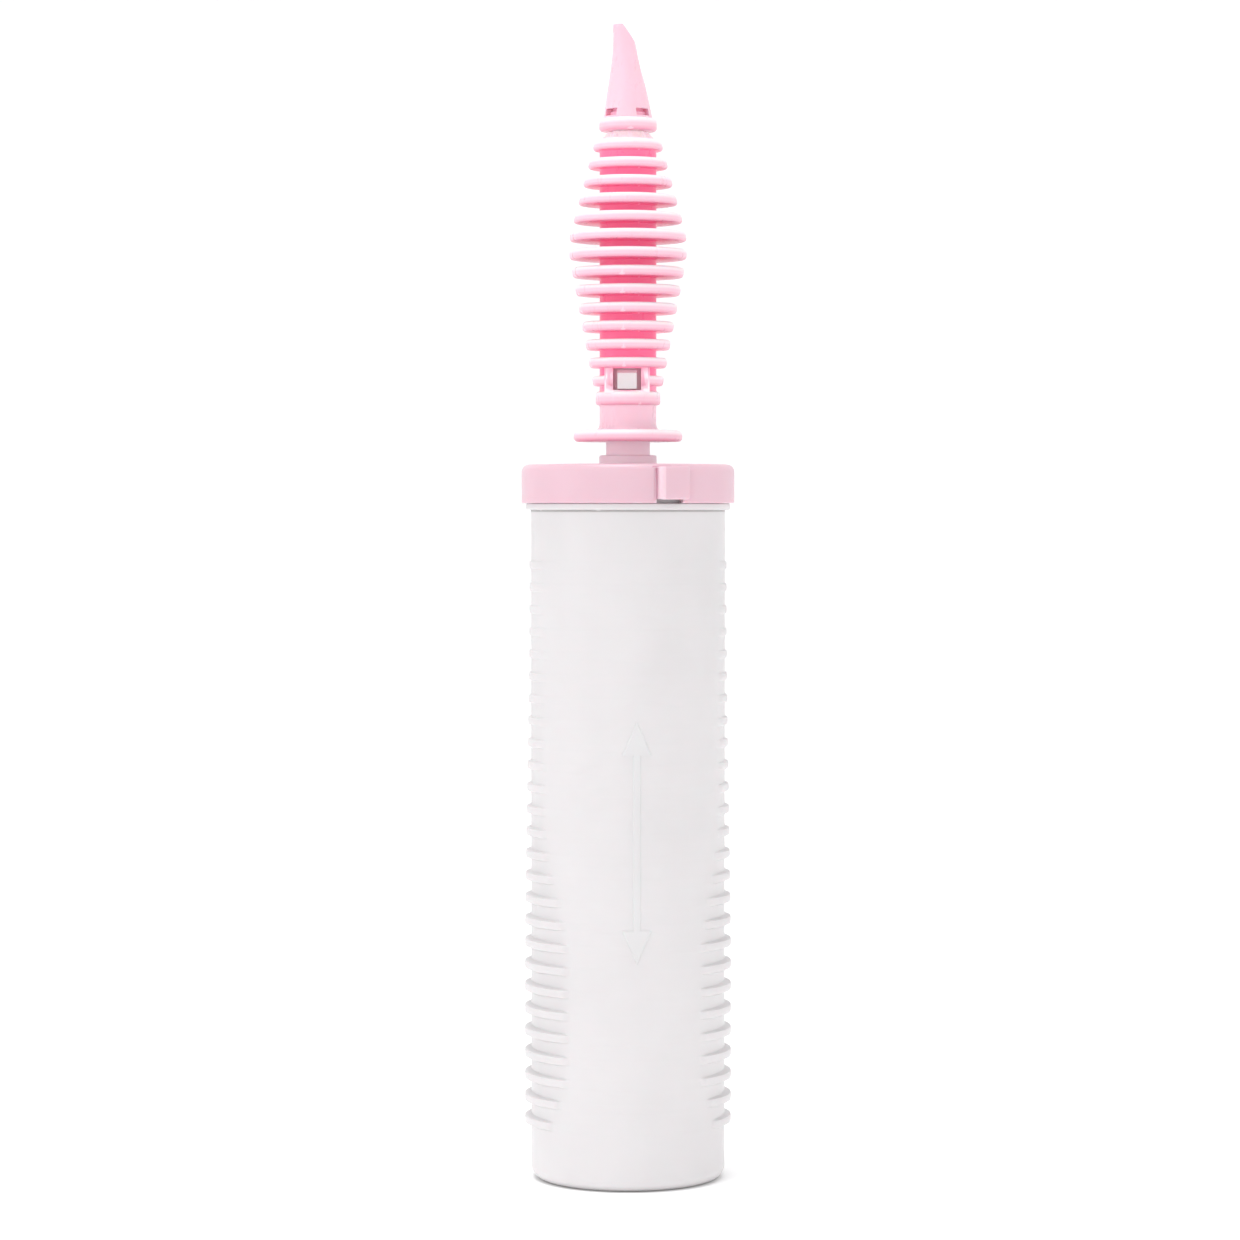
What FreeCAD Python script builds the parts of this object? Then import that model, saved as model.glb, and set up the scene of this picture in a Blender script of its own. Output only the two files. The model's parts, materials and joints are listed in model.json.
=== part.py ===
import FreeCAD, Part
import math
import os

# Double-action hand air pump: ribbed barrel, bayonet cap, hollow rod, finned grip and cone nozzle.
# Millimetres. The origin is the centre of the barrel's foot, +Z is up, and the barrel's front faces -Y.
# It is drawn with the rod pushed right in.

V = FreeCAD.Vector
ORIGIN = V(0, 0, 0)
UP = V(0, 0, 1)

# ---- Driving dimensions --------------------------------------------------------------------------------

# Running gaps
FACE_GAP = 0.05              # between faces that meet as valves and stops
PRESS_GAP = 0.05             # between pieces that are pressed or glued together
SHAFT_GAP = 0.08             # radial, between the rod and its guides

# Barrel
BARREL_R = 24.25
BORE_R = 22.5
NECK_R = 24.0                # the stretch inside the cap
RIM_R = 25.5
RIM_Z = 167.5
RIM_H = 1.6
MOUTH_Z = 175.8
FOOT_HOLE_R = 19.0
FOOT_LEDGE_Z = 3.0
FOOT_ROUND = 3.2

# Grip ribs down both sides of the barrel
RIB_COUNT = 26
RIB_FIRST_Z = 15.0
RIB_PITCH = 5.55
RIB_WIDTH = 3.3
RIB_ROUND = 1.1
RIB_HEIGHT = (1.9, 0.65)     # on the lower ribs, and on the uppermost
RIB_HEIGHT_Z = (50.0, 145.0)     # the height falls between these levels
RIB_SPREAD = (47.0, 27.0)    # degrees each side of +X and -X: lower ribs, upper ribs
RIB_SPREAD_Z = (58.0, 92.0)  # the spread shrinks between these levels
RIB_SPREAD_FIRST = 34.5      # the lowest rib is shorter,
RIB_SPREAD_STEP = 6.0        # and each one above it gains this much until the full spread
RIB_ROOT = 0.7               # how far a rib is let into the wall

# Raised stroke arrow on the barrel's front
ARROW_Z = (56.0, 116.0)
ARROW_SHAFT_W = 2.0
ARROW_HEAD_W = 7.5
ARROW_HEAD_H = 8.5
ARROW_RELIEF = 0.25

# Bayonet: two studs on the barrel's neck, two L-shaped channels in the cap
LUG_ANGLE = -71.0            # cap lug, degrees from +X, so 19 degrees right of the front
CAP_TURN = 22.0              # locked to unlocked
STUD_R = 25.6
STUD_Z = (171.8, 174.2)
STUD_HALF_ANGLE = 6.9
CHANNEL_R = 25.85
CHANNEL_Z = (171.6, 174.4)
CHANNEL_HALF_ANGLE = 8.3

# Cap
CAP_R = 26.6
CAP_Z = (169.3, 178.8)
CAP_PLATE_Z = 177.2          # underside of the top plate
SKIRT_BORE_R = 24.3
CAP_ROUND = 1.8
BOSS_R = 7.2
BOSS_TOP_Z = 181.1
LUG_WIDTH = 8.0
LUG_R = 28.5
LUG_Z = (170.0, 178.1)
LUG_HOLLOW_R = 27.0
LUG_ROUND = 0.6
LUG_SIDE_ROUND = 1.5         # on the side that leads when the cap is locked
MOUTH_W = 7.0                # way in for the barrel's stud, at the lug's foot
MOUTH_SHIFT = -0.6

# Rod gland, hung under the cap
GLAND_R = 10.2
GLAND_BORE_R = 8.6
GLAND_Z = (169.4, 177.2)
RETAINER_BOTTOM_Z = 167.6
RETAINER_TOP_Z = 173.9
GLAND_CORD_R = 1.1           # half the thickness of the floating gland ring
AIR_SLOT_R = 0.9             # grooves beside the rod that let air in

# Rod
ROD_R = 5.5
ROD_BORE_R = 3.7
ROD_Z = (24.0, 196.0)
JOURNAL_R = 5.0              # the rod foot, where the piston hub turns on it
FOOT_BOTTOM_Z = 11.4
SHOULDER_R = 7.6
SHOULDER_Z = (22.3, 24.0)
AIR_R = 2.4                  # air passage through the small pieces
SPIGOT_LENGTH = 10.0
CLIP_GROOVE_Z = (12.95, 13.85)
CLIP_GROOVE_R = 4.15
HEAD_TOP_Z = 206.2
HEAD_GROOVE_Z = (203.6, 204.8)
HEAD_GROOVE_R = 4.5
HEAD_CORD_R = 0.49

# Barrel base and its intake valve
FLOOR_Z = 7.6
FLOOR_POCKET_R = (12.8, 17.6)    # ring-shaped pocket under the floor, crossed by ribs
FLOOR_SKIN = 1.6             # thickness of the floor above the pocket
BASE_GROOVE_Z = (4.4, 6.2)
BASE_GROOVE_R = 20.95
BASE_CORD_R = 0.75
WELL_R = 11.2
WELL_Z = 4.2
SEAT_R = (8.9, 9.5)
SEAT_TOP_Z = 4.6
INTAKE_COUNT = 6
INTAKE_R = 1.4
INTAKE_CIRCLE_R = 6.0
VALVE_DISC_R = 9.9
VALVE_DISC_T = 1.0
CAGE_Z = (6.8, 7.6)

# Piston
PISTON_R = 22.1
FOLLOWER_Z = (7.9, 9.7)
FLANGE_Z = (13.9, 15.7)
SLEEVE_R = (15.8, 17.8)
HUB_COLLAR_R = 8.0
HUB_TOP_Z = 22.2
HUB_GROOVE_Z = (17.05, 18.95)
HUB_GROOVE_R = 6.65
HUB_CORD_R = 0.75
WEB_FAR_R = 19.0             # webs brace the flange against the collar
WEB_TOP_Z = 20.5
WEB_T = 1.2
RING_CORD_R = 1.55           # half the thickness of the floating piston ring
RING_GAP = 0.06              # between the ring and the bore
PORT_COUNT = 8
PORT_R = 1.2

# Grip: a spindle of fins on a tube
GUARD_R = 13.6
GUARD_Z = (184.5, 187.4)
COLLAR_R = 7.1
GRIP_BORE_R = 5.55
GRIP_STEP_Z = 206.5          # the rod head stops here
GRIP_INNER_R = 4.9
BAND_Z = (193.6, 197.0)
BAND_R = 8.1
FIN_COUNT = 14
FIN_TOP_Z = 258.1            # middle of the uppermost fin
FIN_PITCH = 4.5
FIN_THICKNESS = 2.5
FIN_ROUND = 0.75
SPINDLE_LOW = (195.1, 8.1, 0.186)    # height, radius, and growth per mm upwards
SPINDLE_HIGH = (258.1, 8.6, 0.27)    # height, radius, and growth per mm downwards
CROWN_HALF = 4.0             # the two slopes blend over this distance each side of the widest place
WINDOW_ANGLE = 83.0          # the first of two, degrees from +X
WINDOW_W = 7.0
WINDOW_Z = (197.2, 202.6)
FRAME_W = 11.2               # flat frame round the window, which interrupts the lowest fin
FRAME_R = 7.3
LATCH_W = 4.8
LATCH_Z = (197.5, 202.3)
LATCH_R = 6.9
NECK_GRIP_R = 4.5
NECK_TOP_Z = 261.6
GUSSET_COUNT = 8
GUSSET_T = 1.1
GUSSET_FAR_R = 7.4
SPIKE_R = 3.85               # the grip's spigot that the nozzle snaps on
SPIKE_TOP_Z = 270.0
BEAD_R = 4.6
BEAD_Z = (265.5, 266.9)
SPIKE_GROOVE_Z = (263.2, 264.5)
SPIKE_GROOVE_R = 3.05
SPIKE_CORD_R = 0.45
AIR_TAPER_Z = (254.0, 257.5)     # the grip's bore narrows to the air passage here

# Nozzle
NOZZLE_Z = 261.8
NOZZLE_BASE_R = 7.2
NOZZLE_BASE_TOP_Z = 264.9
NOZZLE_BORE_R = 4.0
NOZZLE_GROOVE = (4.8, 265.3, 267.2)  # radius, low and high edge
CONE_SECTIONS = (            # height, radius, and how far the section's centre leans towards -X
    (264.6, 6.2, 0.0),
    (272.4, 4.75, 0.25),
    (277.9, 3.6, 0.6),
    (283.3, 2.8, 0.9),
    (289.5, 2.1, 1.7),
)
TIP_HOLE_R = 1.0
TIP_TOP_Z = 288.3
TIP_CUT_ANGLE = 54.0         # degrees from level
TIP_EDGE_X = -1.5            # where the slanted cut meets the level top
SNAP_WINDOWS = 4
SNAP_WINDOW_HALF_ANGLE = 21.0
SNAP_WINDOW_TURN = -9.0


# ---- Helpers -------------------------------------------------------------------------------------------

def outline(points):
    """Closed face in the XZ plane. A point is (radius, height) or (radius, height, corner rounding)."""
    corners = [V(p[0], 0, p[1]) for p in points]
    arcs = []
    for i, point in enumerate(points):
        here = corners[i]
        if len(point) < 3:
            arcs.append((here, None, here))
            continue
        back = (corners[i - 1] - here).normalize()
        ahead = (corners[(i + 1) % len(corners)] - here).normalize()
        half = back.getAngle(ahead) / 2
        inward = (back + ahead).normalize()
        reach = point[2] / math.tan(half)
        middle = here + inward * (point[2] / math.sin(half) - point[2])
        arcs.append((here + back * reach, middle, here + ahead * reach))
    edges = []
    for i, (start, middle, end) in enumerate(arcs):
        if middle is not None:
            edges.append(Part.Arc(start, middle, end).toShape())
        following = arcs[(i + 1) % len(arcs)][0]
        if end.distanceToPoint(following) > 1e-6:
            edges.append(Part.LineSegment(end, following).toShape())
    return Part.Face(Part.Wire(edges))


def turned(points):
    """Solid of revolution about Z."""
    return outline(points).revolve(ORIGIN, UP, 360)


def tube(inner_r, outer_r, low_z, high_z):
    return turned([(inner_r, low_z), (outer_r, low_z), (outer_r, high_z), (inner_r, high_z)])


def disc(radius, low_z, high_z):
    return Part.makeCylinder(radius, high_z - low_z, V(0, 0, low_z), UP)


def sector(inner_r, outer_r, low_z, high_z, from_angle, to_angle):
    """Part of a ring between two angles, in degrees from +X."""
    face = outline([(inner_r, low_z), (outer_r, low_z), (outer_r, high_z), (inner_r, high_z)])
    face.rotate(ORIGIN, UP, from_angle)
    return face.revolve(ORIGIN, UP, to_angle - from_angle)


def block(width, near_r, far_r, low_z, high_z, angle=0.0):
    """Box that reaches out along the direction `angle`, centred across it."""
    box = Part.makeBox(far_r - near_r, width, high_z - low_z, V(near_r, -width / 2, low_z))
    box.rotate(ORIGIN, UP, angle)
    return box


def plate(points, thickness):
    """Flat upright plate along +X, drawn by its (distance, height) corners."""
    corners = [V(x, -thickness / 2, z) for x, z in points]
    return Part.Face(Part.makePolygon(corners + corners[:1])).extrude(V(0, thickness, 0))


def around(shape, count, first_angle=0.0):
    """Copies of a shape, evenly spaced about Z."""
    copies = []
    for i in range(count):
        copy = shape.copy()
        copy.rotate(ORIGIN, UP, first_angle + 360.0 * i / count)
        copies.append(copy)
    return copies


def round_ring(inner_r, cord_r, middle_z):
    """Rubber ring of round section."""
    return Part.makeTorus(inner_r + cord_r, cord_r, V(0, 0, middle_z), UP)


def blend(low, high, value):
    """0 below `low`, 1 above `high`, and a smooth step between."""
    t = min(max((value - low) / (high - low), 0.0), 1.0)
    return t * t * (3 - 2 * t)


# ---- Barrel --------------------------------------------------------------------------------------------

def rib_size(index):
    """Height and half spread, in degrees, of a grip rib. The lowest has index 0."""
    z = RIB_FIRST_Z + index * RIB_PITCH
    low_height, high_height = RIB_HEIGHT
    low_spread, high_spread = RIB_SPREAD
    height = low_height + (high_height - low_height) * blend(*RIB_HEIGHT_Z, z)
    spread = low_spread + (high_spread - low_spread) * blend(*RIB_SPREAD_Z, z)
    return height, min(spread, RIB_SPREAD_FIRST + RIB_SPREAD_STEP * index)


def grip_rib(index):
    """Two crescents, left and right: an oval plate with round edges, less the barrel inside it."""
    z = RIB_FIRST_Z + index * RIB_PITCH
    height, spread = rib_size(index)
    long_r = BARREL_R + height
    across = BARREL_R * math.cos(math.radians(spread)) / long_r
    short_r = BARREL_R * math.sin(math.radians(spread)) / math.sqrt(1 - across ** 2)
    oval = Part.Ellipse(V(0, 0, z - RIB_WIDTH / 2), long_r, short_r).toShape()
    plate = Part.Face(Part.Wire([oval])).extrude(V(0, 0, RIB_WIDTH))
    rims = [edge for edge in plate.Edges if edge.Closed]
    plate = plate.makeFillet(RIB_ROUND, rims)
    return plate.cut(disc(BARREL_R - RIB_ROOT, z - RIB_WIDTH, z + RIB_WIDTH))


def stroke_arrow():
    """Low double-headed arrow on the front of the barrel."""
    low, high = ARROW_Z
    shaft = ARROW_SHAFT_W / 2
    head = ARROW_HEAD_W / 2
    right_side = [(0, low), (head, low + ARROW_HEAD_H), (shaft, low + ARROW_HEAD_H),
                  (shaft, high - ARROW_HEAD_H), (head, high - ARROW_HEAD_H), (0, high)]
    left_side = [(-x, z) for x, z in reversed(right_side[1:-1])]
    corners = [V(x, -BARREL_R - 1, z) for x, z in right_side + left_side]
    prism = Part.Face(Part.makePolygon(corners + corners[:1])).extrude(V(0, 2, 0))
    skin = tube(BARREL_R - RIB_ROOT, BARREL_R + ARROW_RELIEF, low - 1, high + 1)
    return prism.common(skin)


def make_barrel_tube():
    rim_top = RIM_Z + RIM_H
    body = turned([(FOOT_HOLE_R, 0, 0.4), (BARREL_R, 0, FOOT_ROUND), (BARREL_R, RIM_Z, 0.4),
                   (RIM_R, RIM_Z, 0.4), (RIM_R, rim_top, 0.3), (NECK_R, rim_top), (NECK_R, MOUTH_Z, 0.4),
                   (BORE_R, MOUTH_Z, 0.4), (BORE_R, FOOT_LEDGE_Z), (FOOT_HOLE_R, FOOT_LEDGE_Z, 0.3)])
    ribs = [grip_rib(index) for index in range(RIB_COUNT)]
    locked = LUG_ANGLE + CAP_TURN
    stud = sector(NECK_R - RIB_ROOT, STUD_R, *STUD_Z, locked - STUD_HALF_ANGLE, locked + STUD_HALF_ANGLE)
    return body.multiFuse(ribs + around(stud, 2) + [stroke_arrow()]).removeSplitter()


def make_base_plug():
    """Floor of the barrel: a rimmed plate with a valve well in the middle and ribs underneath."""
    plug_r = BORE_R - PRESS_GAP
    near_r, far_r = FLOOR_POCKET_R
    pocket_top = FLOOR_Z - FLOOR_SKIN
    groove_low, groove_high = BASE_GROOVE_Z
    plug = turned([(0, FOOT_LEDGE_Z), (near_r, FOOT_LEDGE_Z, 0.3), (near_r, pocket_top, 0.4),
                   (far_r, pocket_top, 0.4), (far_r, FOOT_LEDGE_Z, 0.3), (plug_r, FOOT_LEDGE_Z),
                   (plug_r, groove_low), (BASE_GROOVE_R, groove_low), (BASE_GROOVE_R, groove_high),
                   (plug_r, groove_high), (plug_r, FLOOR_Z, 0.3), (WELL_R, FLOOR_Z),
                   (WELL_R, WELL_Z), (SEAT_R[1], WELL_Z), (SEAT_R[1], SEAT_TOP_Z, 0.15),
                   (SEAT_R[0], SEAT_TOP_Z, 0.15), (SEAT_R[0], WELL_Z), (0, WELL_Z)])
    rib = block(1.2, near_r - 0.5, far_r + 0.5, FOOT_LEDGE_Z + 0.4, pocket_top + 0.5)
    hole = Part.makeCylinder(INTAKE_R, WELL_Z, V(INTAKE_CIRCLE_R, 0, 1), UP)
    return plug.multiFuse(around(rib, 6)).cut(around(hole, INTAKE_COUNT, 30))


def make_base_plug_seal():
    return round_ring(BORE_R - 0.02 - 2 * BASE_CORD_R, BASE_CORD_R, sum(BASE_GROOVE_Z) / 2)


def make_base_valve_cage():
    """Spider pressed into the well, which keeps the valve disc from lifting too far."""
    rim = tube(10.0, WELL_R - PRESS_GAP, *CAGE_Z)
    hub = disc(2.2, *CAGE_Z)
    spoke = block(1.6, 1.0, 10.5, *CAGE_Z)
    return rim.multiFuse([hub] + around(spoke, 4, 45)).removeSplitter()


def make_base_valve_disc():
    low = SEAT_TOP_Z + FACE_GAP
    return turned([(0, low), (VALVE_DISC_R, low, 0.2), (VALVE_DISC_R, low + VALVE_DISC_T, 0.3),
                   (0, low + VALVE_DISC_T)])


# ---- Cap and rod gland ---------------------------------------------------------------------------------

def cap_lug():
    """Hollow lug over a bayonet channel, drawn along +X."""
    lug = block(LUG_WIDTH, SKIRT_BORE_R + 1, LUG_R, *LUG_Z)
    side = [edge for edge in lug.Edges if edge.BoundBox.XMin > LUG_R - 0.01
            and edge.BoundBox.YMax < 0.01 - LUG_WIDTH / 2]
    lug = lug.makeFillet(LUG_SIDE_ROUND, side)
    front = [edge for edge in lug.Edges if edge.BoundBox.XMax > LUG_R - 0.01
             and edge.BoundBox.ZLength < LUG_Z[1] - LUG_Z[0] - 0.01 and edge.BoundBox.XMin > LUG_R - 2]
    return lug.makeFillet(LUG_ROUND, front)


def make_cap_shell():
    bottom, top = CAP_Z
    guide_r = ROD_R + SHAFT_GAP
    shell = turned([(guide_r, CAP_PLATE_Z), (GLAND_BORE_R, CAP_PLATE_Z), (GLAND_BORE_R, GLAND_Z[0]),
                    (GLAND_R, GLAND_Z[0], 0.3), (GLAND_R, CAP_PLATE_Z, 0.6), (SKIRT_BORE_R, CAP_PLATE_Z),
                    (SKIRT_BORE_R, bottom, 0.2), (CAP_R, bottom, 0.4), (CAP_R, top, CAP_ROUND),
                    (BOSS_R, top, 0.5), (BOSS_R, BOSS_TOP_Z, 0.5), (guide_r, BOSS_TOP_Z, 0.3)])
    shell = shell.multiFuse(around(cap_lug(), 2, LUG_ANGLE))
    entry = sector(SKIRT_BORE_R - 1, CHANNEL_R, bottom - 1, CHANNEL_Z[1],
                   LUG_ANGLE - CHANNEL_HALF_ANGLE, LUG_ANGLE + CHANNEL_HALF_ANGLE)
    hollow = block(LUG_WIDTH - 2.0, SKIRT_BORE_R - 1, LUG_HOLLOW_R, bottom - 1, CHANNEL_Z[1], LUG_ANGLE)
    end = LUG_ANGLE + CAP_TURN + STUD_HALF_ANGLE + 0.6
    travel = sector(SKIRT_BORE_R - 1, CHANNEL_R, *CHANNEL_Z, LUG_ANGLE, end)
    mouth = block(MOUTH_W, SKIRT_BORE_R - 1, CAP_R + 1, bottom - 1, LUG_Z[0] + 0.1)
    mouth.translate(V(0, MOUTH_SHIFT, 0))
    mouth.rotate(ORIGIN, UP, LUG_ANGLE)
    beside = block(0.9, CAP_R - 0.6, CAP_R + 1, LUG_Z[0], LUG_Z[1] - 0.4)
    beside.translate(V(0, -LUG_WIDTH / 2 - 0.35, 0))
    beside.rotate(ORIGIN, UP, LUG_ANGLE)
    cuts = []
    for cutter in (entry, hollow, travel, mouth, beside):
        cuts += around(cutter, 2)
    slot = Part.makeCylinder(AIR_SLOT_R, 6, V(ROD_R + 0.2, 0, CAP_PLATE_Z - 1), UP)
    cuts += around(slot, 4, 45)
    return shell.cut(cuts).removeSplitter()


def make_cap_gasket():
    low = MOUTH_Z + 2 * FACE_GAP
    return turned([(BORE_R, low, 0.3), (NECK_R, low, 0.3), (NECK_R, CAP_PLATE_Z), (BORE_R, CAP_PLATE_Z)])


def make_gland_retainer():
    """Flanged bush pressed up into the gland. It guides the rod and has grooves that let air by."""
    guide_r = ROD_R + SHAFT_GAP
    bush = turned([(guide_r, RETAINER_BOTTOM_Z, 0.3), (GLAND_R, RETAINER_BOTTOM_Z, 0.4),
                   (GLAND_R, GLAND_Z[0]), (GLAND_BORE_R - PRESS_GAP, GLAND_Z[0]),
                   (GLAND_BORE_R - PRESS_GAP, RETAINER_TOP_Z, 0.3), (guide_r, RETAINER_TOP_Z)])
    slot = Part.makeCylinder(AIR_SLOT_R + 0.3, 8, V(ROD_R + 0.6, 0, RETAINER_BOTTOM_Z - 1), UP)
    return bush.cut(around(slot, 4, 45))


def make_gland_ring():
    return round_ring(ROD_R + 0.03, GLAND_CORD_R, RETAINER_TOP_Z + FACE_GAP + GLAND_CORD_R)


# ---- Piston --------------------------------------------------------------------------------------------

def make_piston_ring():
    middle_z = FLANGE_Z[0] - FACE_GAP - RING_CORD_R
    return round_ring(BORE_R - RING_GAP - 2 * RING_CORD_R, RING_CORD_R, middle_z)


def make_piston_hub():
    """Upper flange, a collar that turns on the rod foot, and the sleeve with ports inside the ring."""
    journal_gap_r = JOURNAL_R + 0.06
    groove_low, groove_high = HUB_GROOVE_Z
    sleeve_bottom = FOLLOWER_Z[1] + PRESS_GAP
    hub = turned([(journal_gap_r, FLANGE_Z[0]), (SLEEVE_R[0], FLANGE_Z[0]), (SLEEVE_R[0], sleeve_bottom),
                  (SLEEVE_R[1], sleeve_bottom), (SLEEVE_R[1], FLANGE_Z[0]), (PISTON_R, FLANGE_Z[0], 0.3),
                  (PISTON_R, FLANGE_Z[1], 0.4), (HUB_COLLAR_R, FLANGE_Z[1], 0.6),
                  (HUB_COLLAR_R, HUB_TOP_Z, 0.3), (journal_gap_r, HUB_TOP_Z),
                  (journal_gap_r, groove_high), (HUB_GROOVE_R, groove_high),
                  (HUB_GROOVE_R, groove_low), (journal_gap_r, groove_low)])
    web = plate([(HUB_COLLAR_R - 0.5, FLANGE_Z[1] - 0.5), (WEB_FAR_R, FLANGE_Z[1] - 0.5),
                 (HUB_COLLAR_R - 0.5, WEB_TOP_Z)], WEB_T)
    port_z = (sleeve_bottom + FLANGE_Z[0]) / 2
    port = Part.makeCylinder(PORT_R, 6, V(SLEEVE_R[0] - 2, 0, port_z), V(1, 0, 0))
    return hub.multiFuse(around(web, 6)).cut(around(port, PORT_COUNT))


def make_piston_follower():
    """Lower flange of the piston, pressed into the hub's sleeve."""
    low, high = FOLLOWER_Z
    spigot_r = SLEEVE_R[0] - PRESS_GAP
    plate = turned([(0, low), (PISTON_R, low, 0.4), (PISTON_R, high, 0.3), (spigot_r, high),
                    (spigot_r, high + 0.7), (spigot_r - 1.8, high + 0.7), (spigot_r - 1.8, high), (0, high)])
    notch = Part.makeCylinder(PORT_R, 4, V(PISTON_R, 0, low - 1), UP)
    return plate.cut(around(notch, PORT_COUNT))


def make_hub_seal_ring():
    return round_ring(JOURNAL_R + 0.04, HUB_CORD_R, sum(HUB_GROOVE_Z) / 2)


# ---- Rod -----------------------------------------------------------------------------------------------

def make_rod_foot():
    """Moulded end of the rod: a journal for the piston hub, a shoulder, and a spigot in the tube."""
    spigot_r = ROD_BORE_R - PRESS_GAP
    groove_low, groove_high = CLIP_GROOVE_Z
    low, high = SHOULDER_Z
    return turned([(AIR_R, FOOT_BOTTOM_Z), (JOURNAL_R, FOOT_BOTTOM_Z, 0.3), (JOURNAL_R, groove_low),
                   (CLIP_GROOVE_R, groove_low), (CLIP_GROOVE_R, groove_high), (JOURNAL_R, groove_high),
                   (JOURNAL_R, low), (SHOULDER_R, low, 0.3), (SHOULDER_R, high, 0.3),
                   (spigot_r, high), (spigot_r, high + SPIGOT_LENGTH, 0.4), (AIR_R, high + SPIGOT_LENGTH)])


def make_rod_clip():
    """Open spring clip in the rod foot's groove, which pulls the piston up."""
    low, high = CLIP_GROOVE_Z
    return sector(CLIP_GROOVE_R + PRESS_GAP, 8.2, low + FACE_GAP, high - FACE_GAP, 35, 325)


def make_pump_rod():
    return tube(ROD_BORE_R, ROD_R, *ROD_Z)


def make_rod_head():
    """Moulded end of the rod: two latches that snap into the grip's windows, and a seal groove."""
    head_r = ROD_R - 0.05
    low = ROD_Z[1]
    groove_low, groove_high = HEAD_GROOVE_Z
    spigot_r = ROD_BORE_R - PRESS_GAP
    body = turned([(AIR_R, low - SPIGOT_LENGTH), (spigot_r, low - SPIGOT_LENGTH, 0.4), (spigot_r, low),
                   (head_r, low), (head_r, groove_low), (HEAD_GROOVE_R, groove_low),
                   (HEAD_GROOVE_R, groove_high), (head_r, groove_high), (head_r, HEAD_TOP_Z, 0.4),
                   (AIR_R, HEAD_TOP_Z, 0.4)])
    latch = block(LATCH_W, AIR_R + 1, LATCH_R, *LATCH_Z)
    top_edges = [edge for edge in latch.Edges if edge.BoundBox.XMin > LATCH_R - 0.01
                 and edge.BoundBox.ZMin > LATCH_Z[1] - 0.01]
    latch = latch.makeChamfer(0.9, top_edges)
    return body.multiFuse(around(latch, 2, WINDOW_ANGLE)).removeSplitter()


# ---- Grip ----------------------------------------------------------------------------------------------

def spindle_radius(z):
    """Two slopes that meet in a soft crown."""
    low_z, low_r, low_rise = SPINDLE_LOW
    high_z, high_r, high_rise = SPINDLE_HIGH
    peak_z = (high_r - low_r + high_rise * high_z + low_rise * low_z) / (low_rise + high_rise)
    if z > peak_z + CROWN_HALF:
        return high_r + high_rise * (high_z - z)
    radius = low_r + low_rise * (z - low_z)
    into_crown = max(z - (peak_z - CROWN_HALF), 0.0)
    return radius - (low_rise + high_rise) / (4 * CROWN_HALF) * into_crown ** 2


def make_finned_grip():
    half = FIN_THICKNESS / 2
    points = [(GRIP_BORE_R, GUARD_Z[0], 0.3), (GUARD_R, GUARD_Z[0], 1.0), (GUARD_R, GUARD_Z[1], 1.3),
              (COLLAR_R, GUARD_Z[1], 1.3), (COLLAR_R, BAND_Z[0], 0.4), (BAND_R, BAND_Z[0], 0.7),
              (BAND_R, BAND_Z[1], 0.7)]
    for i in reversed(range(FIN_COUNT)):
        z = FIN_TOP_Z - i * FIN_PITCH
        points += [(COLLAR_R, points[-1][1], 0.35), (COLLAR_R, z - half, 0.35),
                   (spindle_radius(z - half), z - half, FIN_ROUND),
                   (spindle_radius(z + half), z + half, FIN_ROUND)]
    fin_top = FIN_TOP_Z + half
    groove_low, groove_high = SPIKE_GROOVE_Z
    points += [(NECK_GRIP_R + 0.3, fin_top + 1.1, 0.5), (NECK_GRIP_R, NECK_TOP_Z, 0.3), (SPIKE_R, NECK_TOP_Z),
               (SPIKE_R, groove_low), (SPIKE_GROOVE_R, groove_low), (SPIKE_GROOVE_R, groove_high),
               (SPIKE_R, groove_high), (SPIKE_R, BEAD_Z[0]), (BEAD_R, BEAD_Z[0], 0.2),
               (BEAD_R, BEAD_Z[1] - 0.6), (SPIKE_R, BEAD_Z[1]), (SPIKE_R, SPIKE_TOP_Z, 0.4),
               (AIR_R, SPIKE_TOP_Z, 0.3), (AIR_R, AIR_TAPER_Z[1]), (GRIP_INNER_R, AIR_TAPER_Z[0]),
               (GRIP_INNER_R, GRIP_STEP_Z), (GRIP_BORE_R, GRIP_STEP_Z)]
    grip = turned(points)
    gusset = plate([(SPIKE_R, fin_top - 0.4), (GUSSET_FAR_R, fin_top - 0.4), (NECK_GRIP_R + 0.5, NECK_TOP_Z),
                    (SPIKE_R, NECK_TOP_Z)], GUSSET_T)
    frame_z = (BAND_Z[1], FIN_TOP_Z - (FIN_COUNT - 2) * FIN_PITCH - half)
    frame = block(FRAME_W, GRIP_INNER_R - 2, FRAME_R, frame_z[0] - 0.5, frame_z[1] + 0.3)
    frame = frame.cut(disc(GRIP_BORE_R + 0.4, frame_z[0] - 1, frame_z[1] + 1))
    window = block(WINDOW_W, 3.0, GUARD_R, *WINDOW_Z)
    lowest_fin = block(FRAME_W, FRAME_R, GUARD_R, *frame_z)
    grip = grip.multiFuse(around(gusset, GUSSET_COUNT) + around(frame, 2, WINDOW_ANGLE))
    return grip.cut(around(window, 2, WINDOW_ANGLE) + around(lowest_fin, 2, WINDOW_ANGLE))


def make_grip_seal_ring():
    return round_ring(HEAD_GROOVE_R + 0.04, HEAD_CORD_R, sum(HEAD_GROOVE_Z) / 2)


# ---- Nozzle --------------------------------------------------------------------------------------------

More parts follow.
